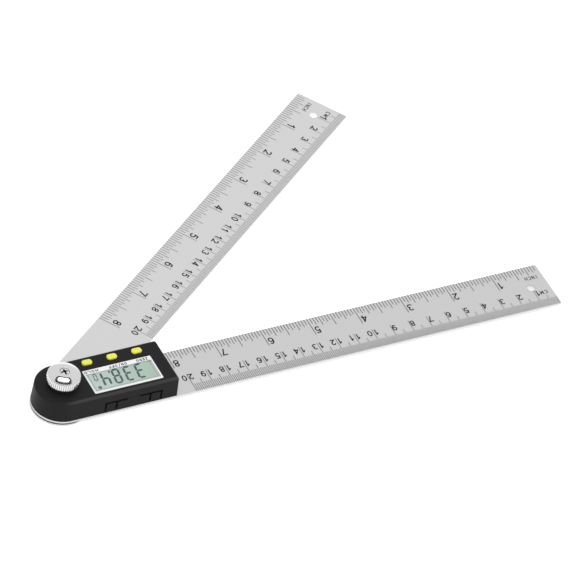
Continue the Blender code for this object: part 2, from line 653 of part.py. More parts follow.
def make_circuit_board():
    """The board, notched round the screw bosses, with the bolt passing through its sensor end."""
    outline = housing_outline(HOUSING_WALL + HOUSING_DRAFT + BOARD_MARGIN, 0)
    hole = circle(BOLT_KEY_RADIUS + CLEARANCE, 40)
    board = piece("circuit_board", add_prism(bmesh.new(), [outline, hole], BOARD_BOTTOM, BOARD_TOP),
                  BOARD_GREEN, 0.4, parent=housing)
    notches = bmesh.new()
    for centre in screw_places():
        add_cylinder(notches, SCREW_BOSS_RADIUS + CLEARANCE, BOARD_BOTTOM - OVERRUN, BOARD_TOP + OVERRUN, 20,
                     centre)
    combine(board, notches, "DIFFERENCE", "notches")


def make_controller_chip():
    """The chip under its low round cap, between board and display."""
    bottom = BOARD_TOP + SEAT_GAP
    dome_steps = 4
    profile = [(0, bottom)]
    for step in range(dome_steps + 1):
        angle = math.pi / 2 * step / dome_steps
        profile.append((CHIP_RADIUS * math.cos(angle), bottom + CHIP_HEIGHT * math.sin(angle)))
    profile[-1] = (0, bottom + CHIP_HEIGHT)
    piece("controller_chip", add_turned(bmesh.new(), profile, 24), BLACK_PLASTIC, 0.5, parent=housing,
          location=(FRAME_CENTRE_X + CHIP_OFFSET_X, FRAME_CENTRE_Y, 0))


def make_dome_sheet():
    """A thin sheet on the board, raised into a low dome under each key."""
    length = (KEY_COUNT - 1) * KEY_PITCH + KEY_LENGTH
    centre = (FRAME_CENTRE_X, KEY_CENTRE_Y)
    sheet_top = STRIP_BOTTOM + DOME_SHEET_THICKNESS
    outline = rounded_rectangle(length, DOME_SHEET_WIDTH, KEY_CORNER_RADIUS, centre)
    sheet = piece("dome_sheet", add_prism(bmesh.new(), [outline], STRIP_BOTTOM, sheet_top), STEEL, 0.4,
                  parent=housing)
    domes = bmesh.new()
    for centre_x in KEY_CENTRES_X:
        profile = [(0, STRIP_BOTTOM), (DOME_RADIUS, STRIP_BOTTOM), (DOME_RADIUS, sheet_top),
                   (DOME_RADIUS / 2, DOME_TOP), (0, DOME_TOP)]
        add_turned(domes, profile, 20, (centre_x, KEY_CENTRE_Y))
    combine(sheet, domes, "UNION", "domes")


# Display

def make_display():
    """White frame, clear pane, and the two glass plates of the display below them."""
    centre = (FRAME_CENTRE_X, FRAME_CENTRE_Y, 0)
    outer = rounded_rectangle(FRAME_LENGTH, FRAME_WIDTH, FRAME_CORNER_RADIUS)
    hole = rounded_rectangle(FRAME_HOLE_LENGTH, FRAME_HOLE_WIDTH, FRAME_CORNER_RADIUS, (0, FRAME_HOLE_Y))
    piece("display_frame", add_prism(bmesh.new(), [outer, hole], FRAME_BOTTOM, FRAME_TOP), WHITE_PLASTIC,
          0.35, parent=housing, location=centre)
    pane = rounded_rectangle(FRAME_HOLE_LENGTH - 2 * SHAFT_GAP, FRAME_HOLE_WIDTH - 2 * SHAFT_GAP,
                             FRAME_CORNER_RADIUS - SHAFT_GAP, (0, FRAME_HOLE_Y))
    piece("display_window", add_prism(bmesh.new(), [pane], WINDOW_BOTTOM, WINDOW_TOP), (0.8, 0.85, 0.83),
          0.1, parent=housing, location=centre)
    half = LCD_WIDTH / 2
    middle = LCD_BOTTOM + LCD_GLASS_THICKNESS
    ledge = half - LCD_CONTACT_LEDGE
    section = [(-half, LCD_BOTTOM), (half, LCD_BOTTOM), (half, middle), (ledge, middle), (ledge, LCD_TOP),
               (-half, LCD_TOP)]
    glass = add_side_prism(bmesh.new(), section, -LCD_LENGTH / 2, LCD_LENGTH / 2)
    panel = piece("lcd_panel", glass, LCD_GREEN, 0.3, parent=housing, location=centre)
    panel.rotation_euler = (0, 0, math.radians(90))


def make_display_supports():
    """The rubber connector under the display's contact edge, and a foam strip under the other edge."""
    half_y = LCD_WIDTH / 2
    supports = [("zebra_strip", half_y - ZEBRA_WIDTH / 2, ZEBRA_WIDTH, (0.15, 0.15, 0.16)),
                ("lcd_cushion", CUSHION_WIDTH / 2 - half_y, CUSHION_WIDTH, (0.3, 0.3, 0.3))]
    for name, offset_y, width, colour in supports:
        outline = rounded_rectangle(LCD_LENGTH - 2 * CLEARANCE, width, CLEARANCE, (0, offset_y))
        piece(name, add_prism(bmesh.new(), [outline], STRIP_BOTTOM, STRIP_TOP), colour, 0.7, parent=housing,
              location=(FRAME_CENTRE_X, FRAME_CENTRE_Y, 0))


# Keys

def make_key(name, centre_x):
    """A key cap with a crowned top, lips that hold it under the cover, and a stem above its dome."""
    top = COVER_TOP + KEY_PROUD
    lip_top = CEILING - CLEARANCE
    lip_bottom = lip_top - KEY_LIP_THICKNESS
    body = rounded_rectangle(KEY_LENGTH, KEY_WIDTH, KEY_CORNER_RADIUS, corner_steps=4)
    levels = [(lip_bottom, [body]), (top - KEY_CROWN, [body])]
    crown_steps = 3
    for step in range(1, crown_steps + 1):
        angle = math.pi / 2 * step / crown_steps
        inset = KEY_CROWN * (1 - math.cos(angle))
        outline = rounded_rectangle(KEY_LENGTH - 2 * inset, KEY_WIDTH - 2 * inset,
                                    KEY_CORNER_RADIUS - inset, corner_steps=4)
        levels.append((top - KEY_CROWN + KEY_CROWN * math.sin(angle), [outline]))
    key = piece(name, add_layers(bmesh.new(), levels), YELLOW_PLASTIC, 0.45, parent=housing,
                location=(centre_x, KEY_CENTRE_Y, 0))
    extras = bmesh.new()
    lip = rounded_rectangle(KEY_LENGTH + 2 * KEY_LIP, KEY_WIDTH - KEY_LIP, KEY_LIP)
    add_prism(extras, [lip], lip_bottom + BOOLEAN_BITE, lip_top)
    add_cylinder(extras, KEY_STEM_RADIUS, KEY_STEM_BOTTOM, lip_bottom + BOOLEAN_BITE / 2, 16)
    combine(key, extras, "UNION", "lip_and_stem")


# Battery

def make_battery_cell():
    """A coin cell with its smaller cap on top."""
    cap_bottom = CELL_TOP - CELL_CAP_HEIGHT
    profile = [(0, CELL_BOTTOM), (CELL_RADIUS - CELL_EDGE_BREAK, CELL_BOTTOM),
               (CELL_RADIUS, CELL_BOTTOM + CELL_EDGE_BREAK), (CELL_RADIUS, cap_bottom - CELL_EDGE_BREAK),
               (CELL_RADIUS - CELL_EDGE_BREAK, cap_bottom), (CELL_CAP_RADIUS, cap_bottom),
               (CELL_CAP_RADIUS, CELL_TOP), (0, CELL_TOP)]
    piece("battery_cell", add_turned(bmesh.new(), profile, 40), STEEL, 0.25, 1.0, drawer_slide)


def drawer_front(mesh):
    """The drawer's front: slots free a snap tab at each end, and a bridge in the middle fills the gap."""
    bottom = FIXED_TOP + CLEARANCE
    top = FIXED_TOP + DRAWER_HEIGHT - SEAT_GAP
    shoulder = FIXED_TOP + DRAWER_HEIGHT - DRAWER_SLOT
    slot_foot = bottom + DRAWER_TAB_SLOT_FOOT
    slot_end = DRAWER_TAB_SLOT_START + DRAWER_SLOT
    half_outline = [(DRAWER_HALF_WIDTH, bottom), (DRAWER_HALF_WIDTH, shoulder), (slot_end, shoulder),
                    (slot_end, slot_foot), (DRAWER_TAB_SLOT_START, slot_foot),
                    (DRAWER_TAB_SLOT_START, shoulder), (DRAWER_BRIDGE_HALF, shoulder),
                    (DRAWER_BRIDGE_HALF, top)]
    outline = half_outline + [(-x, z) for x, z in half_outline[::-1]]
    near_y = -HOUSING_HALF_WIDTH - CELL_CENTRE_Y - OVERRUN
    return add_side_prism(mesh, outline, near_y, DRAWER_FRONT_Y - CELL_CENTRE_Y)


def make_battery_drawer():
    """The drawer: its front follows the cover's wall, and a round pocket behind it holds the cell."""
    drawer = piece("battery_drawer", drawer_front(bmesh.new()), BLACK_PLASTIC, 0.4, parent=drawer_slide)
    skin = []
    for height, loops in housing_levels():
        skin.append((height, [[(x - DRAWER_CENTRE_X, y - CELL_CENTRE_Y) for x, y in loops[0]]]))
    combine(drawer, add_layers(bmesh.new(), skin), "INTERSECT", "skin")
    half = DRAWER_FRAME_HALF
    front_y = DRAWER_FRONT_Y - CELL_CENTRE_Y - BOOLEAN_BITE
    outline = arc((0, 0), half, 0, 180, 24) + [(-half, front_y), (half, front_y)]
    frame = add_prism(bmesh.new(), [outline], DRAWER_FLOOR_BOTTOM, DRAWER_FLOOR_TOP + DRAWER_RIM_HEIGHT)
    combine(drawer, frame, "UNION", "frame")
    pocket = add_cylinder(bmesh.new(), CELL_POCKET_RADIUS, DRAWER_FLOOR_TOP, CELL_TOP + OVERRUN, 40)
    combine(drawer, pocket, "DIFFERENCE", "pocket")
    notch = add_box(bmesh.new(), (-DRAWER_NOTCH_HALF, CELL_RADIUS / 2, DRAWER_FLOOR_TOP),
                    (DRAWER_NOTCH_HALF, half + OVERRUN, CELL_TOP + OVERRUN))
    combine(drawer, notch, "DIFFERENCE", "contact_notch")


def make_contacts():
    """Two sprung strips under the board: one bears on the cell's cap, the other on its rim."""
    pad_top = BOARD_BOTTOM - SEAT_GAP - CONTACT_THICKNESS
    touch = CELL_TOP + SEAT_GAP
    bend = CONTACT_REACH - CONTACT_TOUCH
    path = [(0, pad_top), (CONTACT_PAD, pad_top), (bend, touch), (CONTACT_REACH, touch)]
    mesh = add_bent_strip(bmesh.new(), path, CONTACT_THICKNESS, CONTACT_WIDTH)
    piece("contact_negative", mesh, BRASS, 0.3, 1.0, housing, (DRAWER_CENTRE_X - bend, CELL_CENTRE_Y, 0))
    rim = CELL_RADIUS + SEAT_GAP + CONTACT_THICKNESS
    heel = rim + CONTACT_HEEL
    middle = (CELL_BOTTOM + CELL_TOP) / 2
    foot = middle - CONTACT_HEEL
    path = [(rim + CONTACT_PAD, pad_top), (heel, pad_top), (heel, CELL_TOP), (rim, middle), (heel, foot)]
    mesh = add_bent_strip(bmesh.new(), path, -CONTACT_THICKNESS, CONTACT_WIDTH)
    strip = piece("contact_positive", mesh, BRASS, 0.3, 1.0, housing, (DRAWER_CENTRE_X, CELL_CENTRE_Y, 0))
    strip.rotation_euler = (0, 0, math.radians(90))


# Knob

def knob_profile():
    """Half the knob's section: hub, core of the rim, crown and recess, with the bolt's bore under the web."""
    core = KNOB_RADIUS - KNOB_TOOTH_DEPTH + BOOLEAN_BITE / 2
    bore = BOLT_THREAD_RADIUS + SHAFT_GAP
    web_hole = KNOB_SCREW_RADIUS + SHAFT_GAP
    profile = [(web_hole, KNOB_BORE_TOP), (bore, KNOB_BORE_TOP), (bore, KNOB_BOTTOM),
               (KNOB_HUB_RADIUS, KNOB_BOTTOM), (KNOB_HUB_RADIUS, RIM_BOTTOM),
               (core, RIM_BOTTOM), (core, RIM_TOP - KNOB_EDGE_BREAK)]
    crown_steps = 6
    start = core - KNOB_EDGE_BREAK
    end = KNOB_RECESS_RADIUS + KNOB_EDGE_BREAK
    for step in range(crown_steps + 1):
        share = step / crown_steps
        rise = KNOB_CROWN * math.sin(math.pi / 2 * share)
        profile.append((start + share * (end - start), RIM_TOP + rise))
    profile.append((KNOB_RECESS_RADIUS, KNOB_TOP - KNOB_EDGE_BREAK))
    profile += [(KNOB_RECESS_RADIUS, RECESS_FLOOR), (web_hole, RECESS_FLOOR)]
    return profile


def make_lock_knob():
    """The knob: a turned body, with a ring of straight knurl round its rim."""
    turned = add_turned(bmesh.new(), knob_profile(), KNOB_TEETH, ring=True)
    knob = piece("lock_knob", turned, CHROME, 0.12, 1.0, knob_pivot)
    buried = circle(KNOB_RADIUS - 2 * KNOB_TOOTH_DEPTH, KNOB_TEETH)
    low_tip = KNOB_RADIUS - KNOB_TOOTH_DEPTH
    levels = []
    for height, tip, depth in [(RIM_BOTTOM + BOOLEAN_BITE / 2, low_tip, 0),
                               (RIM_BOTTOM + KNOB_EDGE_BREAK, KNOB_RADIUS, KNOB_TOOTH_DEPTH),
                               (RIM_TOP - 2 * KNOB_EDGE_BREAK, KNOB_RADIUS, KNOB_TOOTH_DEPTH),
                               (RIM_TOP - KNOB_EDGE_BREAK - BOOLEAN_BITE / 2, low_tip, 0)]:
        levels.append((height, [knurl_ring(tip, depth), buried]))
    combine(knob, add_layers(bmesh.new(), levels), "UNION", "knurl")


def make_knob_screw():
    """The screw in the bolt's end, whose cross-slotted head keeps the knob on."""
    head_top = KNOB_SCREW_HEAD_BOTTOM + KNOB_SCREW_HEAD_HEIGHT
    edge = KNOB_EDGE_BREAK
    profile = [(0, head_top), (KNOB_SCREW_HEAD_RADIUS - edge, head_top),
               (KNOB_SCREW_HEAD_RADIUS, head_top - edge), (KNOB_SCREW_HEAD_RADIUS, KNOB_SCREW_HEAD_BOTTOM),
               (KNOB_SCREW_RADIUS, KNOB_SCREW_HEAD_BOTTOM),
               (KNOB_SCREW_RADIUS, KNOB_SCREW_HEAD_BOTTOM - KNOB_SCREW_LENGTH),
               (0, KNOB_SCREW_HEAD_BOTTOM - KNOB_SCREW_LENGTH)]
    screw = piece("knob_screw", add_turned(bmesh.new(), profile, 32), CHROME, 0.2, 1.0, arm_pivot)
    arm = KNOB_SCREW_SLOT_REACH
    half_slot = KNOB_SCREW_SLOT / 2
    cross = [(arm, -half_slot), (arm, half_slot), (half_slot, half_slot), (half_slot, arm),
             (-half_slot, arm), (-half_slot, half_slot), (-arm, half_slot), (-arm, -half_slot),
             (-half_slot, -half_slot), (-half_slot, -arm), (half_slot, -arm), (half_slot, -half_slot)]
    recess = add_prism(bmesh.new(), [cross], head_top - KNOB_SCREW_SLOT_DEPTH, head_top + OVERRUN)
    combine(screw, recess, "DIFFERENCE", "cross_recess")


make_fixed_arm()
make_moving_arm()
make_pivot_bolt()
make_pivot_bush()
make_washers()
make_angle_sensor()
make_housing_cover()
make_housing_base()
make_housing_screws()
make_circuit_board()
make_controller_chip()
make_dome_sheet()
make_display()
make_display_supports()
for key_name, key_x in zip(KEY_NAMES, KEY_CENTRES_X):
    make_key(key_name, key_x)
make_battery_cell()
make_battery_drawer()
make_contacts()
make_lock_knob()
make_knob_screw()
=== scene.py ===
import math

import bmesh
import bpy
import numpy as np
from mathutils import Matrix, Vector
from mathutils.geometry import tessellate_polygon


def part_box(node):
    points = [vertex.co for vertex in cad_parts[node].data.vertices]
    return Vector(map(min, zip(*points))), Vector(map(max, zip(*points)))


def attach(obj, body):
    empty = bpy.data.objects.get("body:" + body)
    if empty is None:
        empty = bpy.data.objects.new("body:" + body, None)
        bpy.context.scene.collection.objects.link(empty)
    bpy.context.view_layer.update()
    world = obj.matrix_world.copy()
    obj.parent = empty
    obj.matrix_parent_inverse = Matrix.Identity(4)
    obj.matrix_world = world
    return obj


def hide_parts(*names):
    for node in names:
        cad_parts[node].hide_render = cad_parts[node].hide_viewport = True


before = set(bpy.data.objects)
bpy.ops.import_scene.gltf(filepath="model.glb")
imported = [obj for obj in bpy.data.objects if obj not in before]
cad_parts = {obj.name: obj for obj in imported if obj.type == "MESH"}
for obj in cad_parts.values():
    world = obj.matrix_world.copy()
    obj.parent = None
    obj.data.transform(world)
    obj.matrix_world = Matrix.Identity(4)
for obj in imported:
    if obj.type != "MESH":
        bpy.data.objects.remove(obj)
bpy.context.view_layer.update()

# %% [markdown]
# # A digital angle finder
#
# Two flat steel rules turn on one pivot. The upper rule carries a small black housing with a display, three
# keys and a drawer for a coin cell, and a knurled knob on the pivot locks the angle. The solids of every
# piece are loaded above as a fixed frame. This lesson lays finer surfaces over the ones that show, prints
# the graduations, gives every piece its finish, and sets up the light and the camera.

MM = 0.001

# %% [markdown]
# ## The camera
#
# The picture was taken with a long lens from about two and a half metres away, well above the bench, so the
# rules hardly narrow towards their tips. The camera looks along one direction, given by an azimuth and an
# elevation, and is then rolled a little, which sets the rules on the slant.

# %% Camera
CAMERA_AZIMUTH = -34.87
CAMERA_ELEVATION = 42.8
CAMERA_ROLL = 12.12
CAMERA_DISTANCE = 2588
CAMERA_AIM = np.array([139.25, 36.08, 2.8])
LENS_MM = 334.3
FILM_MM = 36


def camera_axes(azimuth, elevation, roll):
    """Right, up and back of a camera. Back points from the aim to the camera, at the azimuth round Z and
    the elevation above the bench. Right and up are the level pair square to it, turned by the roll."""
    azimuth, elevation, roll = np.radians([azimuth, elevation, roll])
    back = np.array([math.sin(azimuth) * math.cos(elevation), -math.cos(azimuth) * math.cos(elevation),
                     math.sin(elevation)])
    level = np.array([math.cos(azimuth), math.sin(azimuth), 0.0])
    right = math.cos(roll) * level + math.sin(roll) * np.cross(back, level)
    return right, np.cross(back, right), back


axes = camera_axes(CAMERA_AZIMUTH, CAMERA_ELEVATION, CAMERA_ROLL)
camera = bpy.data.objects.new("camera", bpy.data.cameras.new("camera"))
camera.data.lens = LENS_MM
camera.data.sensor_width = FILM_MM
spot = Vector((CAMERA_AIM + axes[2] * CAMERA_DISTANCE) * MM)
camera.matrix_world = Matrix.Translation(spot) @ Matrix(np.array(axes).T.tolist()).to_4x4()
bpy.context.collection.objects.link(camera)
bpy.context.scene.camera = camera
print("the camera stands at", [round(c, 3) for c in spot])

# %% [markdown]
# ## Colours and nodes
#
# Paint, plastic and ink are easiest to pick as the hex codes that a screen shows. Blender works in linear
# light, so one function turns a code into linear shares. Another adds a node to a material with its options,
# values and links at once, which keeps every finish below to a few lines.

# %% Colour and node helpers
def linear(code):
    """A hex colour as linear red, green, blue and alpha. Each share of 255 is divided by 12.92 where it is
    dark. Elsewhere 0.055 is added, the sum divided by 1.055 and raised to the power 2.4."""
    share = np.array([int(code[start:start + 2], 16) for start in (1, 3, 5)]) / 255
    return (*np.where(share <= 0.04045, share / 12.92, ((share + 0.055) / 1.055) ** 2.4), 1.0)


def add_node(tree, kind, values=None, links=None, **options):
    """Add a node, set its options, give its inputs their values and join sockets to its inputs."""
    node = tree.nodes.new(kind)
    for name, value in options.items():
        setattr(node, name, value)
    for name, value in (values or {}).items():
        node.inputs[name].default_value = value
    for name, socket in (links or {}).items():
        tree.links.new(socket, node.inputs[name])
    return node


def new_finish(name, colour, roughness, **values):
    """A material, its node tree, its shader and the socket with the place on the object, which patterns
    start from. Further values are given by the shader's socket names."""
    finish = bpy.data.materials.new(name)
    finish.use_nodes = True
    tree = finish.node_tree
    shader = tree.nodes["Principled BSDF"]
    for socket, value in {"Base Color": linear(colour), "Roughness": roughness, **values}.items():
        shader.inputs[socket].default_value = value
    print("finish:", name)
    return finish, tree, shader, add_node(tree, "ShaderNodeTexCoord").outputs["Object"]


print("#808080, a middle grey on the screen, is", round(linear("#808080")[0], 3), "in linear light")

# %% [markdown]
# ## The room
#
# The picture is a plain product shot: a white bench in a bright room, with a softbox over it. The bench is
# near white, and a glow that only the camera and mirrors see lifts it to full white while it keeps its
# shadows. The world does the same: it lights the object at one level, and looks fully white.

# %% Floor and world
FLOOR_SIZE = 8000
FLOOR_DROP = 0.05
FLOOR_GLOW = 0.45
ROOM_LEVEL = 0.95


def seen_rays(tree):
    """One for what the camera, a mirror or a clear pane sees, and nothing for plain lighting."""
    rays = add_node(tree, "ShaderNodeLightPath").outputs
    mirror = add_node(tree, "ShaderNodeMath", {}, {0: rays["Is Glossy Ray"], 1: rays["Is Transmission Ray"]},
                      operation="MAXIMUM")
    return add_node(tree, "ShaderNodeMath", {}, {0: rays["Is Camera Ray"], 1: mirror.outputs[0]},
                    operation="MAXIMUM").outputs[0]


bench, tree, shader, _ = new_finish("white_bench", "#f2f2f2", 0.6, **{"Specular IOR Level": 0.2,
                                    "Emission Color": linear("#ffffff")})
glow = add_node(tree, "ShaderNodeMapRange", {"To Max": FLOOR_GLOW}, {"Value": seen_rays(tree)})
tree.links.new(glow.outputs["Result"], shader.inputs["Emission Strength"])
floor = bpy.data.objects.new("floor", bpy.data.meshes.new("floor"))
corners = np.array([[-1, -1, 0], [1, -1, 0], [1, 1, 0], [-1, 1, 0]]) * FLOOR_SIZE / 2 - [0, 0, FLOOR_DROP]
floor.data.from_pydata((corners * MM).tolist(), [], [(0, 1, 2, 3)])
floor.data.materials.append(bench)
bpy.context.collection.objects.link(floor)

room = bpy.data.worlds.new("room")
bpy.context.scene.world = room
room.use_nodes = True
level = add_node(room.node_tree, "ShaderNodeMapRange", {"To Min": ROOM_LEVEL},
                 {"Value": seen_rays(room.node_tree)})
backdrop = room.node_tree.nodes["Background"]
backdrop.inputs["Color"].default_value = linear("#ffffff")
room.node_tree.links.new(level.outputs["Result"], backdrop.inputs["Strength"])
bpy.context.scene.view_settings.view_transform = "Standard"
print("the bench is", FLOOR_SIZE * MM, "m wide and lies", FLOOR_DROP, "mm under the finder")

# %% [markdown]
# ## The softbox
#
# A softbox is a bright cloth in a black frame. This one is oval and hangs over the pivot. It shows in the
# chrome of the knob as a white patch with a dark edge. So its frame is there as well, but only for mirrors.

# %% Softbox
SOFTBOX_PLACE = (0.04, 0.02, 1.1)
SOFTBOX_TURN = -28
SOFTBOX_SIDES = (0.88, 0.4)
SOFTBOX_POWER = 1.6
SOFTBOX_BORDER = 0.18
CLOTH_WEAVE = 2.5
RING_STEPS = 48

lamp = bpy.data.lights.new("softbox", "AREA")
lamp.shape = "ELLIPSE"
lamp.size, lamp.size_y = SOFTBOX_SIDES
lamp.energy = SOFTBOX_POWER
softbox = bpy.data.objects.new("softbox", lamp)
softbox.location = SOFTBOX_PLACE
softbox.rotation_euler = (0, 0, math.radians(SOFTBOX_TURN))
bpy.context.collection.objects.link(softbox)

black_cloth, tree, shader, place = new_finish("black_cloth", "#020202", 1.0, **{"Specular IOR Level": 0.0})
weave = add_node(tree, "ShaderNodeTexNoise", {"Scale": 1 / (CLOTH_WEAVE * MM)}, {"Vector": place})
bump = add_node(tree, "ShaderNodeBump", {"Strength": 0.1}, {"Height": weave.outputs["Fac"]})
tree.links.new(bump.outputs["Normal"], shader.inputs["Normal"])
step = np.arange(RING_STEPS)
after = (step + 1) % RING_STEPS
angle = 2 * math.pi * step / RING_STEPS
ring = np.stack([np.cos(angle), np.sin(angle)], -1)
corners = np.concatenate([ring * (np.array(SOFTBOX_SIDES) / 2 + wide) for wide in (0.0, SOFTBOX_BORDER)])
quads = np.stack([step, after, RING_STEPS + after, RING_STEPS + step], -1)
border = bpy.data.objects.new("softbox_border", bpy.data.meshes.new("softbox_border"))
border.data.from_pydata(np.column_stack([corners, np.zeros(len(corners))]).tolist(), [], quads.tolist())
border.data.materials.append(black_cloth)
border.matrix_world = softbox.matrix_basis
for kind in ("camera", "diffuse", "transmission", "shadow"):
    setattr(border, "visible_" + kind, False)
bpy.context.collection.objects.link(border)
print("the softbox hangs", SOFTBOX_PLACE[2], "m over the bench")

# %% [markdown]
# ## From arrays to meshes
#
# Most pieces are plates, rings and caps: an outline that is carried through a few heights, and drawn in or
# let out on the way. Each loop is one array of shape (levels, points, 3), in millimetres. The walls are
# quads found by index arithmetic, and the two ends are filled between the loops.

# %% Walls and ends
def wall_quads(levels, points, first=0):
    """Corner numbers of the quads between neighbouring levels of a closed loop."""
    level, step = np.meshgrid(np.arange(levels - 1), np.arange(points), indexing="ij")
    here = first + level * points
    above = here + points
    after = (step + 1) % points
    return np.stack([here + step, here + after, above + after, above + step], -1).reshape(-1, 4)


def end_triangles(loops, firsts, level, upwards):
    """Triangles that fill one end between the outer loop and the holes, all turned up or all turned down."""
    rings = [loop[level] for loop in loops]
    numbers = np.concatenate([first + (level % len(loop)) * loop.shape[1] + np.arange(loop.shape[1])
                              for loop, first in zip(loops, firsts)])
    corners = np.array(tessellate_polygon([[Vector(point) for point in ring] for ring in rings]))
    flat = np.concatenate(rings)[:, :2]
    side = flat[corners[:, 1:]] - flat[corners[:, :1]]
    area = side[:, 0, 0] * side[:, 1, 1] - side[:, 0, 1] * side[:, 1, 0]
    wrong = (area > 0) != upwards
    corners[wrong] = corners[wrong][:, ::-1]
    return numbers[corners]


# %% [markdown]
# Points are given in millimetres, and become metres where the object is made. A stacked solid joins the
# walls of all its loops and the two ends.

# %% Solids
def mesh_piece(name, points, faces, merge=False):
    """An object from points in millimetres and faces. Merging joins doubled points and turns faces out."""
    mesh = bpy.data.meshes.new(name)
    mesh.from_pydata((np.asarray(points) * MM).tolist(), [], faces)
    if merge:
        shell = bmesh.new()
        shell.from_mesh(mesh)
        bmesh.ops.remove_doubles(shell, verts=shell.verts, dist=0.0002 * MM)
        bmesh.ops.recalc_face_normals(shell, faces=shell.faces)
        shell.to_mesh(mesh)
        shell.free()
    piece = bpy.data.objects.new(name, mesh)
    bpy.context.collection.objects.link(piece)
    return piece


def stacked_solid(name, *loops):
    """A closed solid from loops of shape (levels, points, 3). The outer loop runs anticlockwise and comes
    first, holes run clockwise, and the levels climb."""
    firsts = np.cumsum([0] + [loop.shape[0] * loop.shape[1] for loop in loops[:-1]])
    faces = [wall_quads(*loop.shape[:2], first) for loop, first in zip(loops, firsts)]
    faces += [end_triangles(loops, firsts, 0, False), end_triangles(loops, firsts, len(loops[0]) - 1, True)]
    points = np.concatenate([loop.reshape(-1, 3) for loop in loops])
    return mesh_piece(name, points, [face for part in faces for face in part.tolist()])


# %% [markdown]
# ## Outlines and soft edges
#
# Nothing that is stamped or moulded has a perfectly sharp edge, and it is the soft edge that catches the
# light. So a plate is lofted: its outline is drawn in along a quarter circle at the foot and at the top.

# %% Outlines
def arc(centre, radius, start_deg, end_deg, steps):
    """Points on a circle between two angles: the centre plus radius times cosine and sine."""
    angle = np.radians(np.linspace(start_deg, end_deg, steps))
    return np.array(centre) + radius * np.stack([np.cos(angle), np.sin(angle)], -1)


def circle(radius, steps, centre=(0, 0)):
    return arc(centre, radius, 0, 360, steps + 1)[:-1]


def round_ended(half_width, reach, corner, steps=96):
    """A strip with a half circle round the pivot and two small round corners at its far end."""
    x, y = reach - corner, half_width - corner
    return np.concatenate([arc((0, 0), half_width, 90, 270, steps), arc((x, -y), corner, 270, 360, 8),
                           arc((x, y), corner, 0, 90, 8)])


def round_cornered(length, width, corner, centre=(0, 0), steps=8):
    """A rectangle with four round corners."""
    x, y = length / 2 - corner, width / 2 - corner
    sides = [(1, 1), (-1, 1), (-1, -1), (1, -1)]
    quarters = [arc((i * x, j * y), corner, 90 * turn, 90 * turn + 90, steps)
                for turn, (i, j) in enumerate(sides)]
    return np.concatenate(quarters) + np.array(centre)


# %% [markdown]
# A loft calls an outline once for each height, drawn in by that height's inset. Holes use the same rule,
# but run clockwise and open out.

# %% Lofts
def lofted(outline_at, insets, heights):
    """One loop: the outline for each inset, at its height."""
    return np.stack([np.column_stack([outline, np.full(len(outline), height)]) for outline, height in
                     zip(map(outline_at, insets), heights)])


def soft_edges(bottom, top, softness, steps=4):
    """Insets and heights of a plate's edge: softness times one minus the sine, at a height of softness
    times one minus the cosine above the foot, and the same below the top."""
    angle = np.linspace(0, math.pi / 2, steps)
    inset, rise = softness * (1 - np.sin(angle)), softness * (1 - np.cos(angle))
    return np.concatenate([inset, inset[::-1]]), np.concatenate([bottom + rise, top - rise[::-1]])


def soft_plate(outline_at, bottom, top, softness):
    return lofted(outline_at, *soft_edges(bottom, top, softness))


def hole(radius, steps, centre, bottom, top, softness=0.0, top_radius=None):
    """A clockwise loop for a round hole, straight or tapered, whose rims open out by the softness."""
    insets, heights = soft_edges(bottom, top, softness)
    share = (heights - bottom) / (top - bottom)
    radii = radius + share * ((top_radius or radius) - radius) + insets
    return lofted(lambda r: circle(r, steps, centre)[::-1], radii, heights)


def turned(points, degrees):
    """Points turned about the pivot: x cos minus y sin, and x sin plus y cos."""
    c, s = math.cos(math.radians(degrees)), math.sin(math.radians(degrees))
    return np.asarray(points) @ np.array([[c, s, 0], [-s, c, 0], [0, 0, 1]])


# %% [markdown]
# ## Finishing a piece
#
# Every piece gets the same last steps. Its faces are shaded smooth, hard edges stay crisp, and flat faces
# keep their own direction, so that a rounded edge doesn't smear light across them. Then the piece is tied
# to the body that it moves with, and stands for the plain solid that it covers.

# %% Finishing helpers
SHARP_ANGLE = math.radians(40)


def complete(piece, body, finish, *nodes):
    """Smooth shading, weighted normals, a material, a body to ride on and the nodes that it replaces."""
    piece.data.shade_smooth()
    piece.data.set_sharp_from_angle(angle=SHARP_ANGLE)
    piece.modifiers.new("weighted", "WEIGHTED_NORMAL").keep_sharp = True
    piece.data.materials.clear()
    piece.data.materials.append(finish)
    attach(piece, body)
    if nodes:
        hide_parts(*nodes)
    print(piece.name, "rides on", body, "and has", len(piece.data.polygons), "faces")


def merged_copy(node):
    """A copy of a frame node whose loose triangles are joined into flat and smooth faces."""
    piece = bpy.data.objects.new(node + "_shell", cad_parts[node].data.copy())
    bpy.context.collection.objects.link(piece)
    shell = bmesh.new()
    shell.from_mesh(piece.data)
    bmesh.ops.remove_doubles(shell, verts=shell.verts, dist=0.002 * MM)
    bmesh.ops.dissolve_limit(shell, angle_limit=math.radians(0.4), verts=shell.verts, edges=shell.edges)
    shell.to_mesh(piece.data)
    shell.free()
    return piece


def soften(piece, width):
    """Round the hard edges of a piece with a narrow bevel."""
    bevel = piece.modifiers.new("soft_edges", "BEVEL")
    bevel.width = width * MM
    bevel.segments = 2
    bevel.limit_method = "ANGLE"
    bevel.angle_limit = SHARP_ANGLE
    return piece


def paint(finish, *nodes):
    """Give frame nodes a finish where their own mesh is fine enough."""
    for node in nodes:
        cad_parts[node].material_slots[0].material = finish


# %% [markdown]
# ## Stainless steel
#
# The rules are stamped from spring stainless, ground along their length and lightly blasted, which leaves
# an even, matte, light grey. The grinding runs along each rule, so its noise is stretched that way: about
# 0.35 mm across and 14 mm long, which is coarser than real grit, so that it shows. It only bends the light
# and varies the roughness, because the metal itself has one colour. The moving rule's copy is still painted
# a little lighter than the fixed one's, as painted light.

# %% Ground stainless
OPENING_DEG = 35.05
SCRATCH_WIDTH = 0.35
SCRATCH_LENGTH = 14


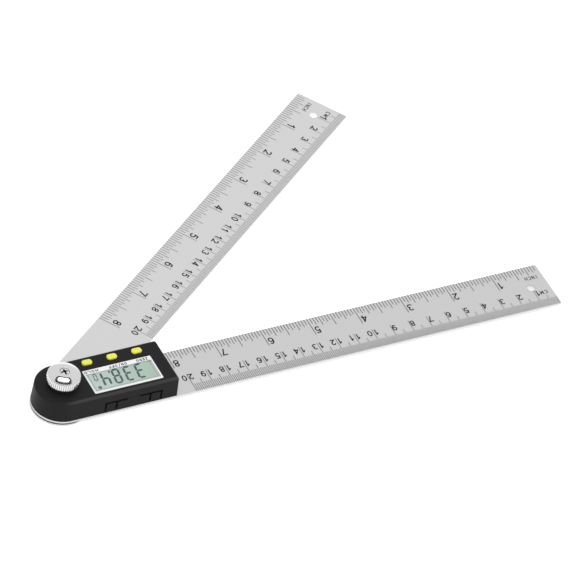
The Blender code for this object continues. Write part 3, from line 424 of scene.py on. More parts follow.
def ground_stainless(name, turn_deg, colour):
    """Stainless steel ground along a rule that is turned by an angle."""
    finish, tree, shader, place = new_finish(name, colour, 0.42, Metallic=1.0)
    along = add_node(tree, "ShaderNodeMapping", {"Rotation": (0, 0, -math.radians(turn_deg))},
                     {"Vector": place})
    per_scratch = (1 / (SCRATCH_LENGTH * MM), 1 / (SCRATCH_WIDTH * MM), 1 / MM)
    grain = add_node(tree, "ShaderNodeMapping", {"Scale": per_scratch}, {"Vector": along.outputs["Vector"]})
    scratch = add_node(tree, "ShaderNodeTexNoise", {"Scale": 1.0, "Detail": 3.0},
                       {"Vector": grain.outputs["Vector"]})
    rough = add_node(tree, "ShaderNodeMapRange", {"To Min": 0.34, "To Max": 0.48},
                     {"Value": scratch.outputs["Fac"]})
    tree.links.new(rough.outputs["Result"], shader.inputs["Roughness"])
    bump = add_node(tree, "ShaderNodeBump", {"Strength": 0.3, "Distance": 0.01 * MM},
                    {"Height": scratch.outputs["Fac"]})
    tree.links.new(bump.outputs["Normal"], shader.inputs["Normal"])
    return finish


fixed_steel = ground_stainless("ground_stainless_fixed", 0, "#cecece")
# The moving rule's steel is painted lighter than the fixed rule's, as painted light.
moving_steel = ground_stainless("ground_stainless_moving", OPENING_DEG, "#d6d6d6")

# %% [markdown]
# ## The two rules
#
# Both rules are one stamping: a strip with a half round end at the pivot, a square tip and a hole to hang
# it by. The fixed one has a hole for the bush and four countersinks for the housing's screws, and the
# moving one has a countersink for the head of the pivot bolt.

# %% Rules
RULE_HALF = 14.0
RULE_REACH = 265.6
RULE_CORNER = 0.62
RULE_EDGE = 0.12
HANGING_HOLE = (255.8, 0.0)
HANGING_RADIUS = 2.0
COUNTERSINK_RADII = (1.75, 0.95)
BUSH_RADIUS = 5.35
BOLT_HEAD_RADII = (6.55, 4.15)
RULE_HEIGHTS = {"instrument": (1.8, 2.8), "moving_rule": (0.0, 1.0)}
RULE_TURN_DEG = {"instrument": 0.0, "moving_rule": OPENING_DEG}


def rule_loops(heights, *holes):
    """The strip's outline with soft edges, its hanging hole, and the other holes."""
    def outline(inset):
        return round_ended(RULE_HALF - inset, RULE_REACH - inset, RULE_CORNER - inset)
    hanging = hole(HANGING_RADIUS, 48, HANGING_HOLE, *heights, RULE_EDGE)
    return [soft_plate(outline, *heights, RULE_EDGE), hanging, *holes]


fixed_heights, moving_heights = RULE_HEIGHTS.values()
screw_spots = [0.5 * (np.array(low) + np.array(high))[:2] / MM for low, high in
               (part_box(f"housing_screw_{number}") for number in (1, 2, 3, 4))]
countersinks = [hole(COUNTERSINK_RADII[0], 24, centre, *fixed_heights, top_radius=COUNTERSINK_RADII[1])
                for centre in screw_spots]
bush_hole = hole(BUSH_RADIUS, 72, (0, 0), *fixed_heights)
bolt_hole = hole(BOLT_HEAD_RADII[0], 72, (0, 0), *moving_heights, top_radius=BOLT_HEAD_RADII[1])

fixed_rule = stacked_solid("fixed_rule", *rule_loops(fixed_heights, bush_hole, *countersinks))
complete(fixed_rule, "instrument", fixed_steel, "fixed_arm")
moving_loops = [turned(loop, OPENING_DEG) for loop in rule_loops(moving_heights, bolt_hole)]
complete(stacked_solid("moving_rule_blade", *moving_loops), "moving_rule", moving_steel, "moving_arm")
print("rules:", 2 * RULE_HALF, "mm wide,", RULE_REACH, "mm from pivot to tip")

# %% [markdown]
# ## Graduations
#
# The marks are etched lightly, which leaves them grey, and the figures are printed in black. Both inks drift
# a little in tone from speck to speck.

# %% Inks
def speckled(name, dark, light):
    """Ink whose tone drifts between two colours in specks of 0.4 mm."""
    finish, tree, shader, place = new_finish(name, dark, 0.55, **{"Specular IOR Level": 0.3})
    speck = add_node(tree, "ShaderNodeTexNoise", {"Scale": 1 / (0.4 * MM), "Detail": 2.0}, {"Vector": place})
    tone = add_node(tree, "ShaderNodeMix", {"A": linear(dark), "B": linear(light)},
                    {"Factor": speck.outputs["Fac"]}, data_type="RGBA")
    tree.links.new(tone.outputs["Result"], shader.inputs["Base Color"])
    return finish


# The moving rule's etch is painted paler than the fixed rule's, as painted light.
ETCH = {"instrument": speckled("grey_etch", "#646466", "#707072"),
        "moving_rule": speckled("grey_etch_painted_lighter", "#88888a", "#949496")}
black_print = speckled("black_screen_print", "#161618", "#262628")

# %% [markdown]
# Each mark is a flat box that stands only a fiftieth of a millimetre proud, so it reads as print from any
# side. Both scales start at the tip: eight inches in sixteenths along one edge, and twenty centimetres along
# the other. A mark's length tells its rank, so the lengths are picked from arrays of ranks, without a loop
# over the marks. On the moving rule the print lies a little nearer one edge, as print does.

# %% Etched marks
INK_LIFT = 0.004
INK_HEIGHT = 0.02
INCH = 25.4
INCH_ZERO = 265.08
METRIC_ZERO = RULE_REACH
INCH_MARK = 0.42
METRIC_MARK = 0.34
PRINT_SHIFT = {"instrument": 0.0, "moving_rule": -0.7}


def mark_boxes(x, y_ends, widths, top):
    """Points and faces of one flat box per mark: its middle x plus or minus half the width, between its
    two ends, from just above the steel to the ink's height."""
    half = widths / 2
    corners = [(-half, 0), (half, 0), (half, 1), (-half, 1)]
    heights = (top + INK_LIFT, top + INK_HEIGHT)
    points = np.stack([np.stack([x + side, y_ends[:, end], np.full(len(x), height)], -1)
                       for height in heights for side, end in corners], 1)
    box = np.array([[3, 2, 1, 0], [4, 5, 6, 7], [0, 1, 5, 4], [1, 2, 6, 5], [2, 3, 7, 6], [3, 0, 4, 7]])
    faces = (8 * np.arange(len(x)))[:, None, None] + box
    return points.reshape(-1, 3), faces.reshape(-1, 4)


def rule_marks(top, shift):
    """Marks for both edges of a rule, in its own frame, whose inner ends are moved sideways by the shift."""
    sixteenth = np.arange(1, 8 * 16 + 1)
    rank = [sixteenth % step == 0 for step in (16, 8, 4, 2)]
    inch_length = np.select(rank, [11.1, 7.6, 5.9, 4.8], 3.9)
    millimetre = np.arange(1, 201)
    rank = [millimetre % step == 0 for step in (10, 5)]
    metric_length = np.select(rank, [11.8, 7.3], 4.8)
    x = np.concatenate([INCH_ZERO - sixteenth * INCH / 16, METRIC_ZERO - millimetre])
    edge = RULE_HALF - RULE_EDGE
    inch_ends = np.stack([RULE_HALF - inch_length + shift, np.full(len(sixteenth), edge)], -1)
    metric_ends = np.stack([np.full(len(millimetre), -edge), metric_length - RULE_HALF + shift], -1)
    ends = np.concatenate([inch_ends, metric_ends])
    widths = np.repeat([INCH_MARK, METRIC_MARK], [len(sixteenth), len(millimetre)])
    return mark_boxes(x, ends, widths, top)


for body, (_, top) in RULE_HEIGHTS.items():
    points, faces = rule_marks(top, PRINT_SHIFT[body])
    marks = mesh_piece(body + "_marks", turned(points, RULE_TURN_DEG[body]), faces.tolist())
    complete(marks, body, ETCH[body])

# %% [markdown]
# ## Numbers and words
#
# The figures are drawn with a pen of even width, as on most rulers. So each is kept as the path of the pen
# in a square of one by one: straight strokes, and bows, which are parts of an ellipse. A stroke becomes a
# solid when a flat rectangle is carried along its path. That gives plain, closed shapes with few faces, and
# lets the width of the figures and of the pen be set apart from each other.

# %% Pen paths
def bow(middle_x, middle_y, half_width, half_height, start_deg, end_deg, steps=16):
    """Part of an ellipse: its middle plus the half width times cosine and the half height times sine."""
    angle = np.radians(np.linspace(start_deg, end_deg, steps))
    return np.stack([middle_x + half_width * np.cos(angle), middle_y + half_height * np.sin(angle)], -1)


def lines(*points):
    return [np.array(pair, float) for pair in zip(points, points[1:])]


six = [bow(0.5, 0.31, 0.5, 0.31, 0, 360), bow(0.56, 0.42, 0.56, 0.58, 48, 182)]
PEN_PATHS = {
    "0": [bow(0.5, 0.5, 0.5, 0.5, 0, 360, 24)],
    "1": lines((0.62, 0), (0.62, 1), (0.2, 0.76)),
    "2": [bow(0.5, 0.7, 0.47, 0.3, 168, -38)] + lines((0.87, 0.51), (0.03, 0), (1, 0)),
    "3": [bow(0.47, 0.75, 0.43, 0.25, 160, -88), bow(0.48, 0.255, 0.52, 0.255, 88, -160)],
    "4": lines((0.76, 0), (0.76, 1), (0, 0.28), (1, 0.28)),
    "5": [bow(0.48, 0.32, 0.5, 0.33, 138, -155)] + lines((0.92, 1), (0.2, 1), (0.1, 0.53)),
    "6": six,
    "7": lines((0, 1), (1, 1), (0.36, 0)),
    "8": [bow(0.5, 0.76, 0.42, 0.24, 0, 360), bow(0.5, 0.26, 0.5, 0.26, 0, 360)],
    "9": [1 - path for path in six],
    "C": [bow(0.5, 0.5, 0.5, 0.5, 45, 315, 20)],
    "D": [bow(0.3, 0.5, 0.7, 0.5, -90, 90)] + lines((0.3, 0), (0, 0), (0, 1), (0.3, 1)),
    "E": lines((1, 1), (0, 1), (0, 0), (1, 0)) + lines((0, 0.52), (0.85, 0.52)),
    "F": lines((0, 0), (0, 1), (1, 1)) + lines((0, 0.5), (0.8, 0.5)),
    "H": lines((0, 0), (0, 1)) + lines((1, 0), (1, 1)) + lines((0, 0.5), (1, 0.5)),
    "I": lines((0.5, 0), (0.5, 1)),
    "L": lines((0, 1), (0, 0), (1, 0)),
    "M": lines((0, 0), (0, 1), (0.5, 0.2), (1, 1), (1, 0)),
    "N": lines((0, 0), (0, 1), (1, 0), (1, 1)),
    "O": [bow(0.5, 0.5, 0.5, 0.5, 0, 360, 24)],
    "R": [bow(0.6, 0.74, 0.4, 0.26, 90, -90)] + lines((0.6, 0.48), (0, 0.48))
         + lines((0, 0), (0, 1), (0.6, 1)) + lines((0.5, 0.48), (1, 0)),
    "Z": lines((0, 1), (1, 1), (0, 0), (1, 0)),
    "/": lines((0.1, -0.1), (0.9, 1.1)),
}
print("pen paths for", "".join(PEN_PATHS))

# %% [markdown]
# A stroke turns one path into a solid, and the lettering sets the strokes of a word in equal cells.

# %% Strokes and words
def stroke(path, pen, bottom, top):
    """A flat rectangle carried along a path. At each point its middle is moved half the pen's width to
    either side of the path's direction. A straight stroke runs on by almost half the pen's width, which
    fills the corners."""
    if len(path) == 2:
        run = (path[1] - path[0]) / np.linalg.norm(path[1] - path[0]) * pen * 0.48
        path = path + np.array([-run, run])
    closed = len(path) > 2 and np.allclose(path[0], path[-1])
    along = np.gradient(path, axis=0)
    if closed:
        along[[0, -1]] = path[1] - path[-2]
    along /= np.linalg.norm(along, axis=1)[:, None]
    across = np.stack([-along[:, 1], along[:, 0]], -1) * pen / 2
    rows = np.stack([np.column_stack([path + side * across, np.full(len(path), height)])
                     for side, height in ((1, top), (-1, top), (-1, bottom), (1, bottom))], 1)
    faces = wall_quads(len(path), 4).tolist()
    if not closed:
        faces += [[3, 2, 1, 0], [4 * len(path) - 4 + corner for corner in range(4)]]
    return rows.reshape(-1, 3), faces


def lettering(name, words, cell, gap, pen, surface, degrees=0, shift=0.0):
    """Words in equal cells of a width and height, centred on their places. They face a reader on the far
    side of the finder, so their right is towards the pivot and their top towards the near edge. A shift
    moves them all sideways."""
    points, faces, count = [], [], 0
    size = np.array(cell) - pen
    for text, x, y in words:
        for index, letter in enumerate(text):
            middle = (index - (len(text) - 1) / 2) * (cell[0] + gap)
            for path in PEN_PATHS[letter]:
                flat = [x, y + shift] - ((path - 0.5) * size + [middle, 0])
                shape, quads = stroke(flat, pen, surface + INK_LIFT, surface + INK_HEIGHT)
                points.append(turned(shape, degrees))
                faces += [[corner + count for corner in quad] for quad in quads]
                count += len(shape)
    return mesh_piece(name, np.concatenate(points), faces, merge=True)


# %% [markdown]
# An inch figure stands beside its long mark, on the side of the tip. Centimetre figures do too, and those
# of two digits stand astride theirs. Small words at the tip name the two scales.

# %% Figures on the rules
INCH_FIGURE_Y = 5.7
METRIC_FIGURE_Y = -4.5

inch_words = [(str(n), INCH_ZERO - INCH * n + (1.8 if n == 1 else 2.3), INCH_FIGURE_Y) for n in range(1, 9)]
metric_words = [(str(n), METRIC_ZERO - 10 * n + (1.4 if n < 10 else -0.35), METRIC_FIGURE_Y)
                for n in range(1, 21)]
RULE_WORDS = (("inch_figures", inch_words, (2.8, 4.4), 0.5, 0.68),
              ("metric_figures", metric_words, (2.4, 3.75), 1.1, 0.62),
              ("inch_word", [("INCH", 259.1, 6.15)], (1.5, 2.35), 0.42, 0.36),
              ("metric_word", [("CM", 260.4, -4.7)], (1.8, 2.4), 0.45, 0.42))

for body, (_, top) in RULE_HEIGHTS.items():
    for kind, words, cell, gap, pen in RULE_WORDS:
        piece = lettering(f"{body}_{kind}", words, cell, gap, pen, top, RULE_TURN_DEG[body],
                          PRINT_SHIFT[body])
        complete(piece, body, black_print)

# %% [markdown]
# ## Moulded plastic
#
# The housing is ABS, moulded in a spark-eroded tool, which gives a fine even grain and a soft sheen. The
# grain of such a tool is about 0.05 mm. It is drawn at 0.25 mm, so that it shows at this distance.

# %% Plastics
def moulded(name, colour, roughness, grain, **values):
    """Moulded plastic with an even grain of a given size in millimetres, and a faint drift in its gloss."""
    finish, tree, shader, place = new_finish(name, colour, roughness, IOR=1.53, **values)
    grit = add_node(tree, "ShaderNodeTexNoise", {"Scale": 1 / (grain * MM), "Detail": 1.5}, {"Vector": place})
    bump = add_node(tree, "ShaderNodeBump", {"Strength": 0.25, "Distance": 0.02 * MM},
                    {"Height": grit.outputs["Fac"]})
    tree.links.new(bump.outputs["Normal"], shader.inputs["Normal"])
    drift = add_node(tree, "ShaderNodeTexNoise", {"Scale": 1 / (6 * MM), "Detail": 2.0}, {"Vector": place})
    gloss = add_node(tree, "ShaderNodeMapRange", {"To Min": roughness - 0.04, "To Max": roughness + 0.06},
                     {"Value": drift.outputs["Fac"]})
    tree.links.new(gloss.outputs["Result"], shader.inputs["Roughness"])
    return finish


black_abs = moulded("moulded_abs_black", "#232324", 0.42, 0.25, **{"Specular IOR Level": 0.06})
grey_abs = moulded("moulded_abs_grey", "#3a3b3d", 0.5, 0.25)
white_abs = moulded("moulded_abs_white", "#ececee", 0.35, 0.4)
yellow_abs = moulded("moulded_abs_yellow", "#e4e750", 0.42, 0.3)
fibre = moulded("pressed_fibre_black", "#0c0c0d", 0.7, 0.3)
acetal = moulded("turned_acetal", "#cfcfc8", 0.45, 0.3)

# %% [markdown]
# The thumb that pulls the drawer rests on the housing's near edge, and has polished the grain off it. So this
# edge mirrors more of the white room than the rest, and shows as a lighter band. The shader's clear coat
# draws it as a thin smooth skin. Its weight comes from three ramps, one along each axis. Each ramp climbs
# to the value of the one before, so the three are multiplied.

# %% Polished edge
POLISH_RAMPS = {"X": (-6.0, 1.0), "Y": (-12.0, -12.4), "Z": (13.0, 13.4)}
POLISH_COAT = 0.8
POLISH_ROUGHNESS = 0.42

tree = black_abs.node_tree
place = tree.nodes["Texture Coordinate"].outputs["Object"]
along = add_node(tree, "ShaderNodeSeparateXYZ", {}, {0: place}).outputs
before = {}
for axis, (low, high) in POLISH_RAMPS.items():
    reach = {"From Min": low * MM, "From Max": high * MM, "To Max": POLISH_COAT}
    ramp = add_node(tree, "ShaderNodeMapRange", reach, {"Value": along[axis], **before})
    before = {"To Max": ramp.outputs["Result"]}
shader = tree.nodes["Principled BSDF"]
tree.links.new(ramp.outputs["Result"], shader.inputs["Coat Weight"])
shader.inputs["Coat Roughness"].default_value = POLISH_ROUGHNESS
print("the polished edge starts at x", POLISH_RAMPS["X"][1], "mm")

# %% [markdown]
# ## Housing and drawer
#
# The cover and the drawer are complex inside and simple outside, and their solids are already fine enough.
# So each gets a copy of its own mesh with the loose triangles joined, and a narrow bevel on the hard edges,
# which draws the light lines along the slots and openings that a moulding has.

# %% Housing and drawer
complete(soften(merged_copy("housing_cover"), 0.12), "instrument", black_abs, "housing_cover")
complete(soften(merged_copy("battery_drawer"), 0.08), "drawer", black_abs, "battery_drawer")
paint(grey_abs, "housing_base")
paint(fibre, "knob_washer")
paint(acetal, "spacer_washer")

# %% [markdown]
# ## Display
#
# A white frame sits in a pocket of the cover, with the names of the keys on its wide side. Under its clear
# pane lies the glass of the display, grey green because light passes the film twice.

# %% Frame and pane
FRAME_CORNER, FRAME_SOFTNESS = 0.4, 0.14
PANE_CORNER, PANE_SOFTNESS = 0.25, 0.1
PANE_GAP = 0.15

frame_low, frame_high = (np.array(corner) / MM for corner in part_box("display_frame"))
pane_low, pane_high = (np.array(corner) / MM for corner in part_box("display_window"))


def box_outline(low, high, corner, gap=None):
    """The outline of a plate that fills a box, drawn in by any inset. With a gap it is that of the hole
    round the plate: clockwise, wider by the gap, and let out by the inset."""
    def outline(inset):
        grow = -inset if gap is None else gap + inset
        points = round_cornered(*(high - low)[:2] + 2 * grow, corner + grow, (low + high)[:2] / 2)
        return points if gap is None else points[::-1]
    return outline


outlines = (box_outline(frame_low, frame_high, FRAME_CORNER),
            box_outline(pane_low, pane_high, PANE_CORNER, PANE_GAP))
loops = [soft_plate(outline, frame_low[2], frame_high[2], FRAME_SOFTNESS) for outline in outlines]
complete(stacked_solid("white_frame", *loops), "instrument", white_abs, "display_frame")

clear_pane, tree, shader, place = new_finish("cast_acrylic_clear", "#eef4f1", 0.06, IOR=1.49, Alpha=0.06)
ripple = add_node(tree, "ShaderNodeTexNoise", {"Scale": 1 / (9 * MM), "Detail": 1.0}, {"Vector": place})
bump = add_node(tree, "ShaderNodeBump", {"Strength": 0.15, "Distance": 0.05 * MM},
                {"Height": ripple.outputs["Fac"]})
tree.links.new(bump.outputs["Normal"], shader.inputs["Normal"])
pane = soft_plate(box_outline(pane_low, pane_high, PANE_CORNER), pane_low[2], pane_high[2], PANE_SOFTNESS)
complete(stacked_solid("clear_pane", pane), "instrument", clear_pane, "display_window")

# %% [markdown]
# The film is a little smaller than the glass and has a darker rim. Three numbers tell how far a point lies
# past the film's two ends and its near edge, and the greatest of them tells whether it is outside. The film
# drifts from one tint to another along its length. Then the bare glass and the rim are mixed in.

# %% Display film
FILM_X = (13.9, 46.2)
FILM_NEAR_Y = -8.6
FILM_RIM = 0.2

glass_film, tree, shader, place = new_finish("display_film_green", "#a7c0b5", 0.4)
along = add_node(tree, "ShaderNodeSeparateXYZ", {}, {0: place}).outputs
past = [add_node(tree, "ShaderNodeMath", {1: side, 2: -side * edge * MM}, {0: along[axis]},
                 operation="MULTIPLY_ADD").outputs[0]
        for axis, side, edge in (("X", -1, FILM_X[0]), ("X", 1, FILM_X[1]), ("Y", -1, FILM_NEAR_Y))]
past_ends = add_node(tree, "ShaderNodeMath", {}, {0: past[0], 1: past[1]}, operation="MAXIMUM")
outside = add_node(tree, "ShaderNodeMath", {}, {0: past_ends.outputs[0], 1: past[2]}, operation="MAXIMUM")
beyond = add_node(tree, "ShaderNodeMath", {1: 0.0}, {0: outside.outputs[0]}, operation="GREATER_THAN")
rim = add_node(tree, "ShaderNodeMath", {1: 0.0, 2: FILM_RIM * MM}, {0: outside.outputs[0]},
               operation="COMPARE")
sideways = add_node(tree, "ShaderNodeMapRange", {"From Min": FILM_X[0] * MM, "From Max": FILM_X[1] * MM},
                    {"Value": along["X"]})
colour = add_node(tree, "ShaderNodeMix", {"A": linear("#b8c8c3"), "B": linear("#9db6a6")},
                  {"Factor": sideways.outputs["Result"]}, data_type="RGBA")
for share, tone in ((beyond, "#bccac3"), (rim, "#82918a")):
    colour = add_node(tree, "ShaderNodeMix", {"B": linear(tone)},
                      {"Factor": share.outputs[0], "A": colour.outputs["Result"]}, data_type="RGBA")
tree.links.new(colour.outputs["Result"], shader.inputs["Base Color"])
paint(glass_film, "lcd_panel")

# %% [markdown]
# A digit has seven bars, lettered a to g from the top round to the middle. Each bar is a flat plate with
# pointed ends between two of the digit's six corners. The digits lean by about five degrees, as on most
# such displays.

# %% Bars of a digit
segment_ink = moulded("display_segment_dark", "#083736", 0.5, 0.5, **{"Specular IOR Level": 0.1})
GLASS_TOP = float(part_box("lcd_panel")[1][2]) / MM
SEGMENT_LEAN = 0.094
SEGMENT_SHAPES = {"0": "abcdef", "3": "abcdg", "4": "bcfg", "8": "abcdefg"}
SEGMENT_ENDS = {"a": ((0, 2), (1, 2)), "b": ((1, 2), (1, 1)), "c": ((1, 1), (1, 0)), "d": ((0, 0), (1, 0)),
                "e": ((0, 1), (0, 0)), "f": ((0, 2), (0, 1)), "g": ((0, 1), (1, 1))}


def segment(start, end, thickness, gap=0.1):
    """A flat bar with pointed ends from one point to another: six corners, with the points pulled in by a
    gap and the shoulders half the thickness further."""
    start, end = np.array(start, float), np.array(end, float)
    along = (end - start) / np.linalg.norm(end - start)
    across = np.array([-along[1], along[0]]) * thickness / 2
    tip, shoulder = along * gap, along * (gap + thickness / 2)
    return np.array([start + tip, start + shoulder - across, end - shoulder - across, end - tip,
                     end - shoulder + across, start + shoulder + across])


def digit(shape, right_x, rows, width, thickness):
    """The bars of one digit. Its reader stands on the far side, so its left is at a larger x, and its top
    is the row with the lowest y."""
    def corner(column, row):
        return right_x + (1 - column) * width + SEGMENT_LEAN * (rows[row] - rows[1]), rows[row]
    return [segment(corner(*start), corner(*end), thickness)
            for start, end in (SEGMENT_ENDS[letter] for letter in SEGMENT_SHAPES[shape])]


def thin_prisms(name, outlines, bottom, top):
    """Prisms over flat outlines that all have the same number of corners."""
    flat = np.array(outlines)
    count, corners = flat.shape[:2]
    levels = np.stack([np.concatenate([flat, np.full((count, corners, 1), height)], -1)
                       for height in (bottom, top)], 1)
    shift = (2 * corners * np.arange(count))[:, None]
    caps = [shift + np.arange(corners)[::-1], shift + corners + np.arange(corners)]
    walls = (shift[:, None] + wall_quads(2, corners)).reshape(-1, 4)
    faces = sum([part.tolist() for part in (*caps, walls)], [])
    return mesh_piece(name, levels.reshape(-1, 3), faces, merge=True)


# %% [markdown]
# Four large digits, a point, a small fifth digit and a square degree mark are laid on the glass in one
# piece. Positions are in millimetres from the pivot.

# %% Display segments
DIGITS = (("3", 37.7), ("3", 31.73), ("8", 25.66), ("4", 19.79))
DIGIT_ROWS = (1.45, -2.5, -7.05)
DIGIT_WIDTH, DIGIT_PEN = 3.1, 1.12
SMALL_ROWS = (1.45, -0.65, -2.75)
SMALL_X, SMALL_WIDTH, SMALL_PEN = 16.15, 1.4, 0.5
POINT_ENDS, POINT_PEN = ((24.45, 0.0), (24.85, 1.55)), 0.95
DEGREE_MIDDLE, DEGREE_HALF, DEGREE_PEN = (16.25, -7.3), 0.6, 0.72
SEGMENT_HEIGHTS = (GLASS_TOP + 0.01, GLASS_TOP + 0.05)

bars = sum([digit(shape, x, DIGIT_ROWS, DIGIT_WIDTH, DIGIT_PEN) for shape, x in DIGITS], [])
bars += digit("0", SMALL_X, SMALL_ROWS, SMALL_WIDTH, SMALL_PEN)
bars.append(segment(*POINT_ENDS, POINT_PEN, 0.0))
square = np.array([[-1, -1], [1, -1], [1, 1], [-1, 1]]) * DEGREE_HALF + DEGREE_MIDDLE
bars += [segment(start, end, DEGREE_PEN, 0.0) for start, end in zip(square, np.roll(square, -1, axis=0))]
complete(thin_prisms("display_segments", bars, *SEGMENT_HEIGHTS), "instrument", segment_ink)
print("the display shows", len(bars), "bars")

# %% [markdown]
# The frame carries a generic name beside each key, in small black print.

# %% Names of the keys
LABEL_Y = 3.15
LABEL_PEN = 0.32
for text, x, cell, gap in (("HOLD", 16.3, (1.4, 1.6), 0.55), ("ON/OFF", 30.2, (1.2, 1.6), 0.45),
                           ("ZERO", 42.9, (1.15, 1.6), 0.4)):
    label = lettering("label_" + text.lower().replace("/", "_"), [(text, x, LABEL_Y)], cell, gap, LABEL_PEN,
                      float(frame_high[2]))
    complete(label, "instrument", black_print)

# %% [markdown]
# ## Keys
#
# Each key is a small pill with a crowned top. Under the cover it has lips, which hold it in, and a stem
# that stands over a dome on the board. One loft makes all of it: the outline changes from the round stem to
# the lips and the cap, and then draws in along the crown.

# %% Keys
KEY_NODES = {"key_hold": "hold_key", "key_power": "power_key", "key_zero": "zero_key"}
COVER_TOP = 14.1
LIP_BOTTOM, LIP_TOP = 11.6, 12.4
STEM_SIZE = (2.4, 2.4, 1.2)
LIP_SIZE = (6.5, 2.5, 0.7)
CAP_SIZE = (5.1, 3.2, 1.3)
CROWN_RISE = 0.45
CROWN_INSET = 0.99
CORNER_STEPS = 10


def key_loop(low, high):
    """Outlines of a key from its stem to its crown, each given by a length, a width and a corner. Along the
    crown the height is its rise times the sine of an angle, and it draws in by its inset times one minus
    the cosine."""
    angle = np.linspace(0, math.pi / 2, 8)
    inset = CROWN_INSET * (1 - np.cos(angle))
    sizes = [STEM_SIZE, STEM_SIZE, LIP_SIZE, LIP_SIZE, CAP_SIZE]
    sizes += (np.array(CAP_SIZE) - inset[:, None] * [2, 2, 1]).tolist()
    heights = [low[2], LIP_BOTTOM, LIP_BOTTOM, LIP_TOP, LIP_TOP, *high[2] - CROWN_RISE * (1 - np.sin(angle))]
    middle = (low + high)[:2] / 2
    return lofted(lambda size: round_cornered(*size, middle, CORNER_STEPS), sizes, heights)


for node, body in KEY_NODES.items():
    low, high = (np.array(corner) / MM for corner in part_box(node))
    complete(stacked_solid(node + "_cap", key_loop(low, high)), body, yellow_abs, node)
    print(node, "stands", round(float(high[2]) - COVER_TOP, 2), "mm proud of the cover")

# %% [markdown]
# ## Metals
#
# The knob is brass, turned, knurled and plated with bright chrome. Screws, bolt and cell are plain steels,
# and the bush and the sensor's hub are turned brass. A lathe leaves fine rings, which a wave of rings round
# the axis draws, with a real pitch of about 0.1 mm drawn at 0.3 mm.

# %% Metal finishes
WAVE_PITCH = 0.314


def turned_metal(name, colour, roughness, pitch=0.3):
    """Metal turned on a lathe: rings round the pivot's axis, at a pitch in millimetres. The Wave texture
    has a pitch of 0.314 where its scale is one."""
    finish, tree, shader, place = new_finish(name, colour, roughness, Metallic=1.0)
    rings = add_node(tree, "ShaderNodeTexWave", {"Scale": WAVE_PITCH / (pitch * MM), "Distortion": 0.4,
                     "Detail": 1.0}, {"Vector": place}, wave_type="RINGS", rings_direction="Z")
    stain = add_node(tree, "ShaderNodeTexNoise", {"Scale": 1 / (1.5 * MM), "Detail": 3.0}, {"Vector": place})
    rough = add_node(tree, "ShaderNodeMapRange", {"To Min": max(roughness - 0.05, 0.02),
                     "To Max": roughness + 0.08}, {"Value": stain.outputs["Fac"]})
    tree.links.new(rough.outputs["Result"], shader.inputs["Roughness"])
    bump = add_node(tree, "ShaderNodeBump", {"Strength": 0.15, "Distance": 0.01 * MM},
                    {"Height": rings.outputs["Fac"]})
    tree.links.new(bump.outputs["Normal"], shader.inputs["Normal"])
    return finish


chrome = turned_metal("chrome_plate_knob", "#d4d4d5", 0.09)
bolt_steel = turned_metal("turned_steel_bolt", "#c4c4c6", 0.28)
brass = turned_metal("turned_brass", "#c9a55a", 0.3)
screw_steel = turned_metal("zinc_plated_screw", "#c8c9cc", 0.25)
paint(bolt_steel, "pivot_bolt")
paint(brass, "pivot_bush", "rotor_hub")

# %% [markdown]
# ## The lock knob
#
# A lathe shape is a profile carried round an axis: a grid of rows of the profile by columns of the angle.
# The knurl only changes the radius on some rows. There a wave of the angle, flattened at its tops, is cut
# into the rim. The recess in the crown takes the screw.

# %% Knob
KNOB_TEETH = 50
COLUMNS_PER_TOOTH = 12
GROOVE_DEPTH = 0.4
GROOVE_GAIN, GROOVE_CUT = 1.4, 0.4
CROWN_WIDTH, CROWN_HEIGHT = 5.0, 1.8


def knob_section():
    """Radius, height and share of the knurl for each row, up the outside and down the bore."""
    crown = np.linspace(0, 1, 14)[1:]
    outside = [(5.2, 15.0, 0), (5.2, 17.1, 0), (7.8, 17.1, 0), (8.15, 17.18, 0.3), (8.3, 17.4, 1),
               (8.18, 18.3, 1), (8.05, 19.3, 1), (7.9, 20.4, 1), (7.78, 20.68, 0.3), (7.6, 20.8, 0)]
    outside += [(7.6 - share * CROWN_WIDTH, 20.8 + CROWN_HEIGHT * math.sin(share * math.pi / 2), 0)
                for share in crown]
    inside = [(2.45, 22.55, 0), (2.3, 22.35, 0), (2.3, 21.3, 0), (1.35, 21.3, 0), (1.35, 20.8, 0),
              (3.15, 20.8, 0), (3.15, 15.0, 0)]
    return np.array(outside + inside).T


def knob_surface(columns):
    """Radius minus depth times the groove wave, turned about the axis. The wave is a gain times the cosine
    of the angle times the teeth, less a cut, kept between nothing and one. So the teeth have flat tops and
    narrow grooves."""
    radius, height, share = knob_section()
    angle = 2 * math.pi * np.arange(columns) / columns
    groove = np.clip(GROOVE_GAIN * np.cos(KNOB_TEETH * angle) - GROOVE_CUT, 0, 1)
    reach = radius[:, None] - GROOVE_DEPTH * share[:, None] * groove
    return np.stack([reach * np.cos(angle), reach * np.sin(angle),
                     np.broadcast_to(height[:, None], reach.shape)], -1)


def ring_solid(name, points):
    """A solid whose section is a closed loop: the last row joins the first."""
    rows, columns = points.shape[:2]
    grid = np.concatenate([points, points[:1]])
    faces = wall_quads(rows + 1, columns)
    return mesh_piece(name, grid.reshape(-1, 3), faces.tolist(), merge=True)


knob = ring_solid("chrome_knob", knob_surface(KNOB_TEETH * COLUMNS_PER_TOOTH))
complete(knob, "knob", chrome, "lock_knob")

# %% [markdown]
# ## Screws
#
# A screw head with a cross recess is a height map over a disc. In polar coordinates the head is a gentle
# dome, and the recess pushes it down wherever the distance to one of the two centre lines is small.

# %% Screw shapes
SCREW_COLUMNS = 96
HEAD_ROWS = 30
RECESS_WALL = 0.12
RECESS_TAPER = 0.3
RIM_SHARE = 0.15
KNOB_SCREW = {"head": 2.1, "under": (2.1, 2.1), "shank": 1.2, "dome": 0.15, "recess": (0.46, 1.9, 0.75)}
FLUSH_SCREW = {"head": 1.6, "under": (1.48, 0.8), "shank": 0.8, "dome": 0.0, "recess": (0.2, 1.0, 0.4)}


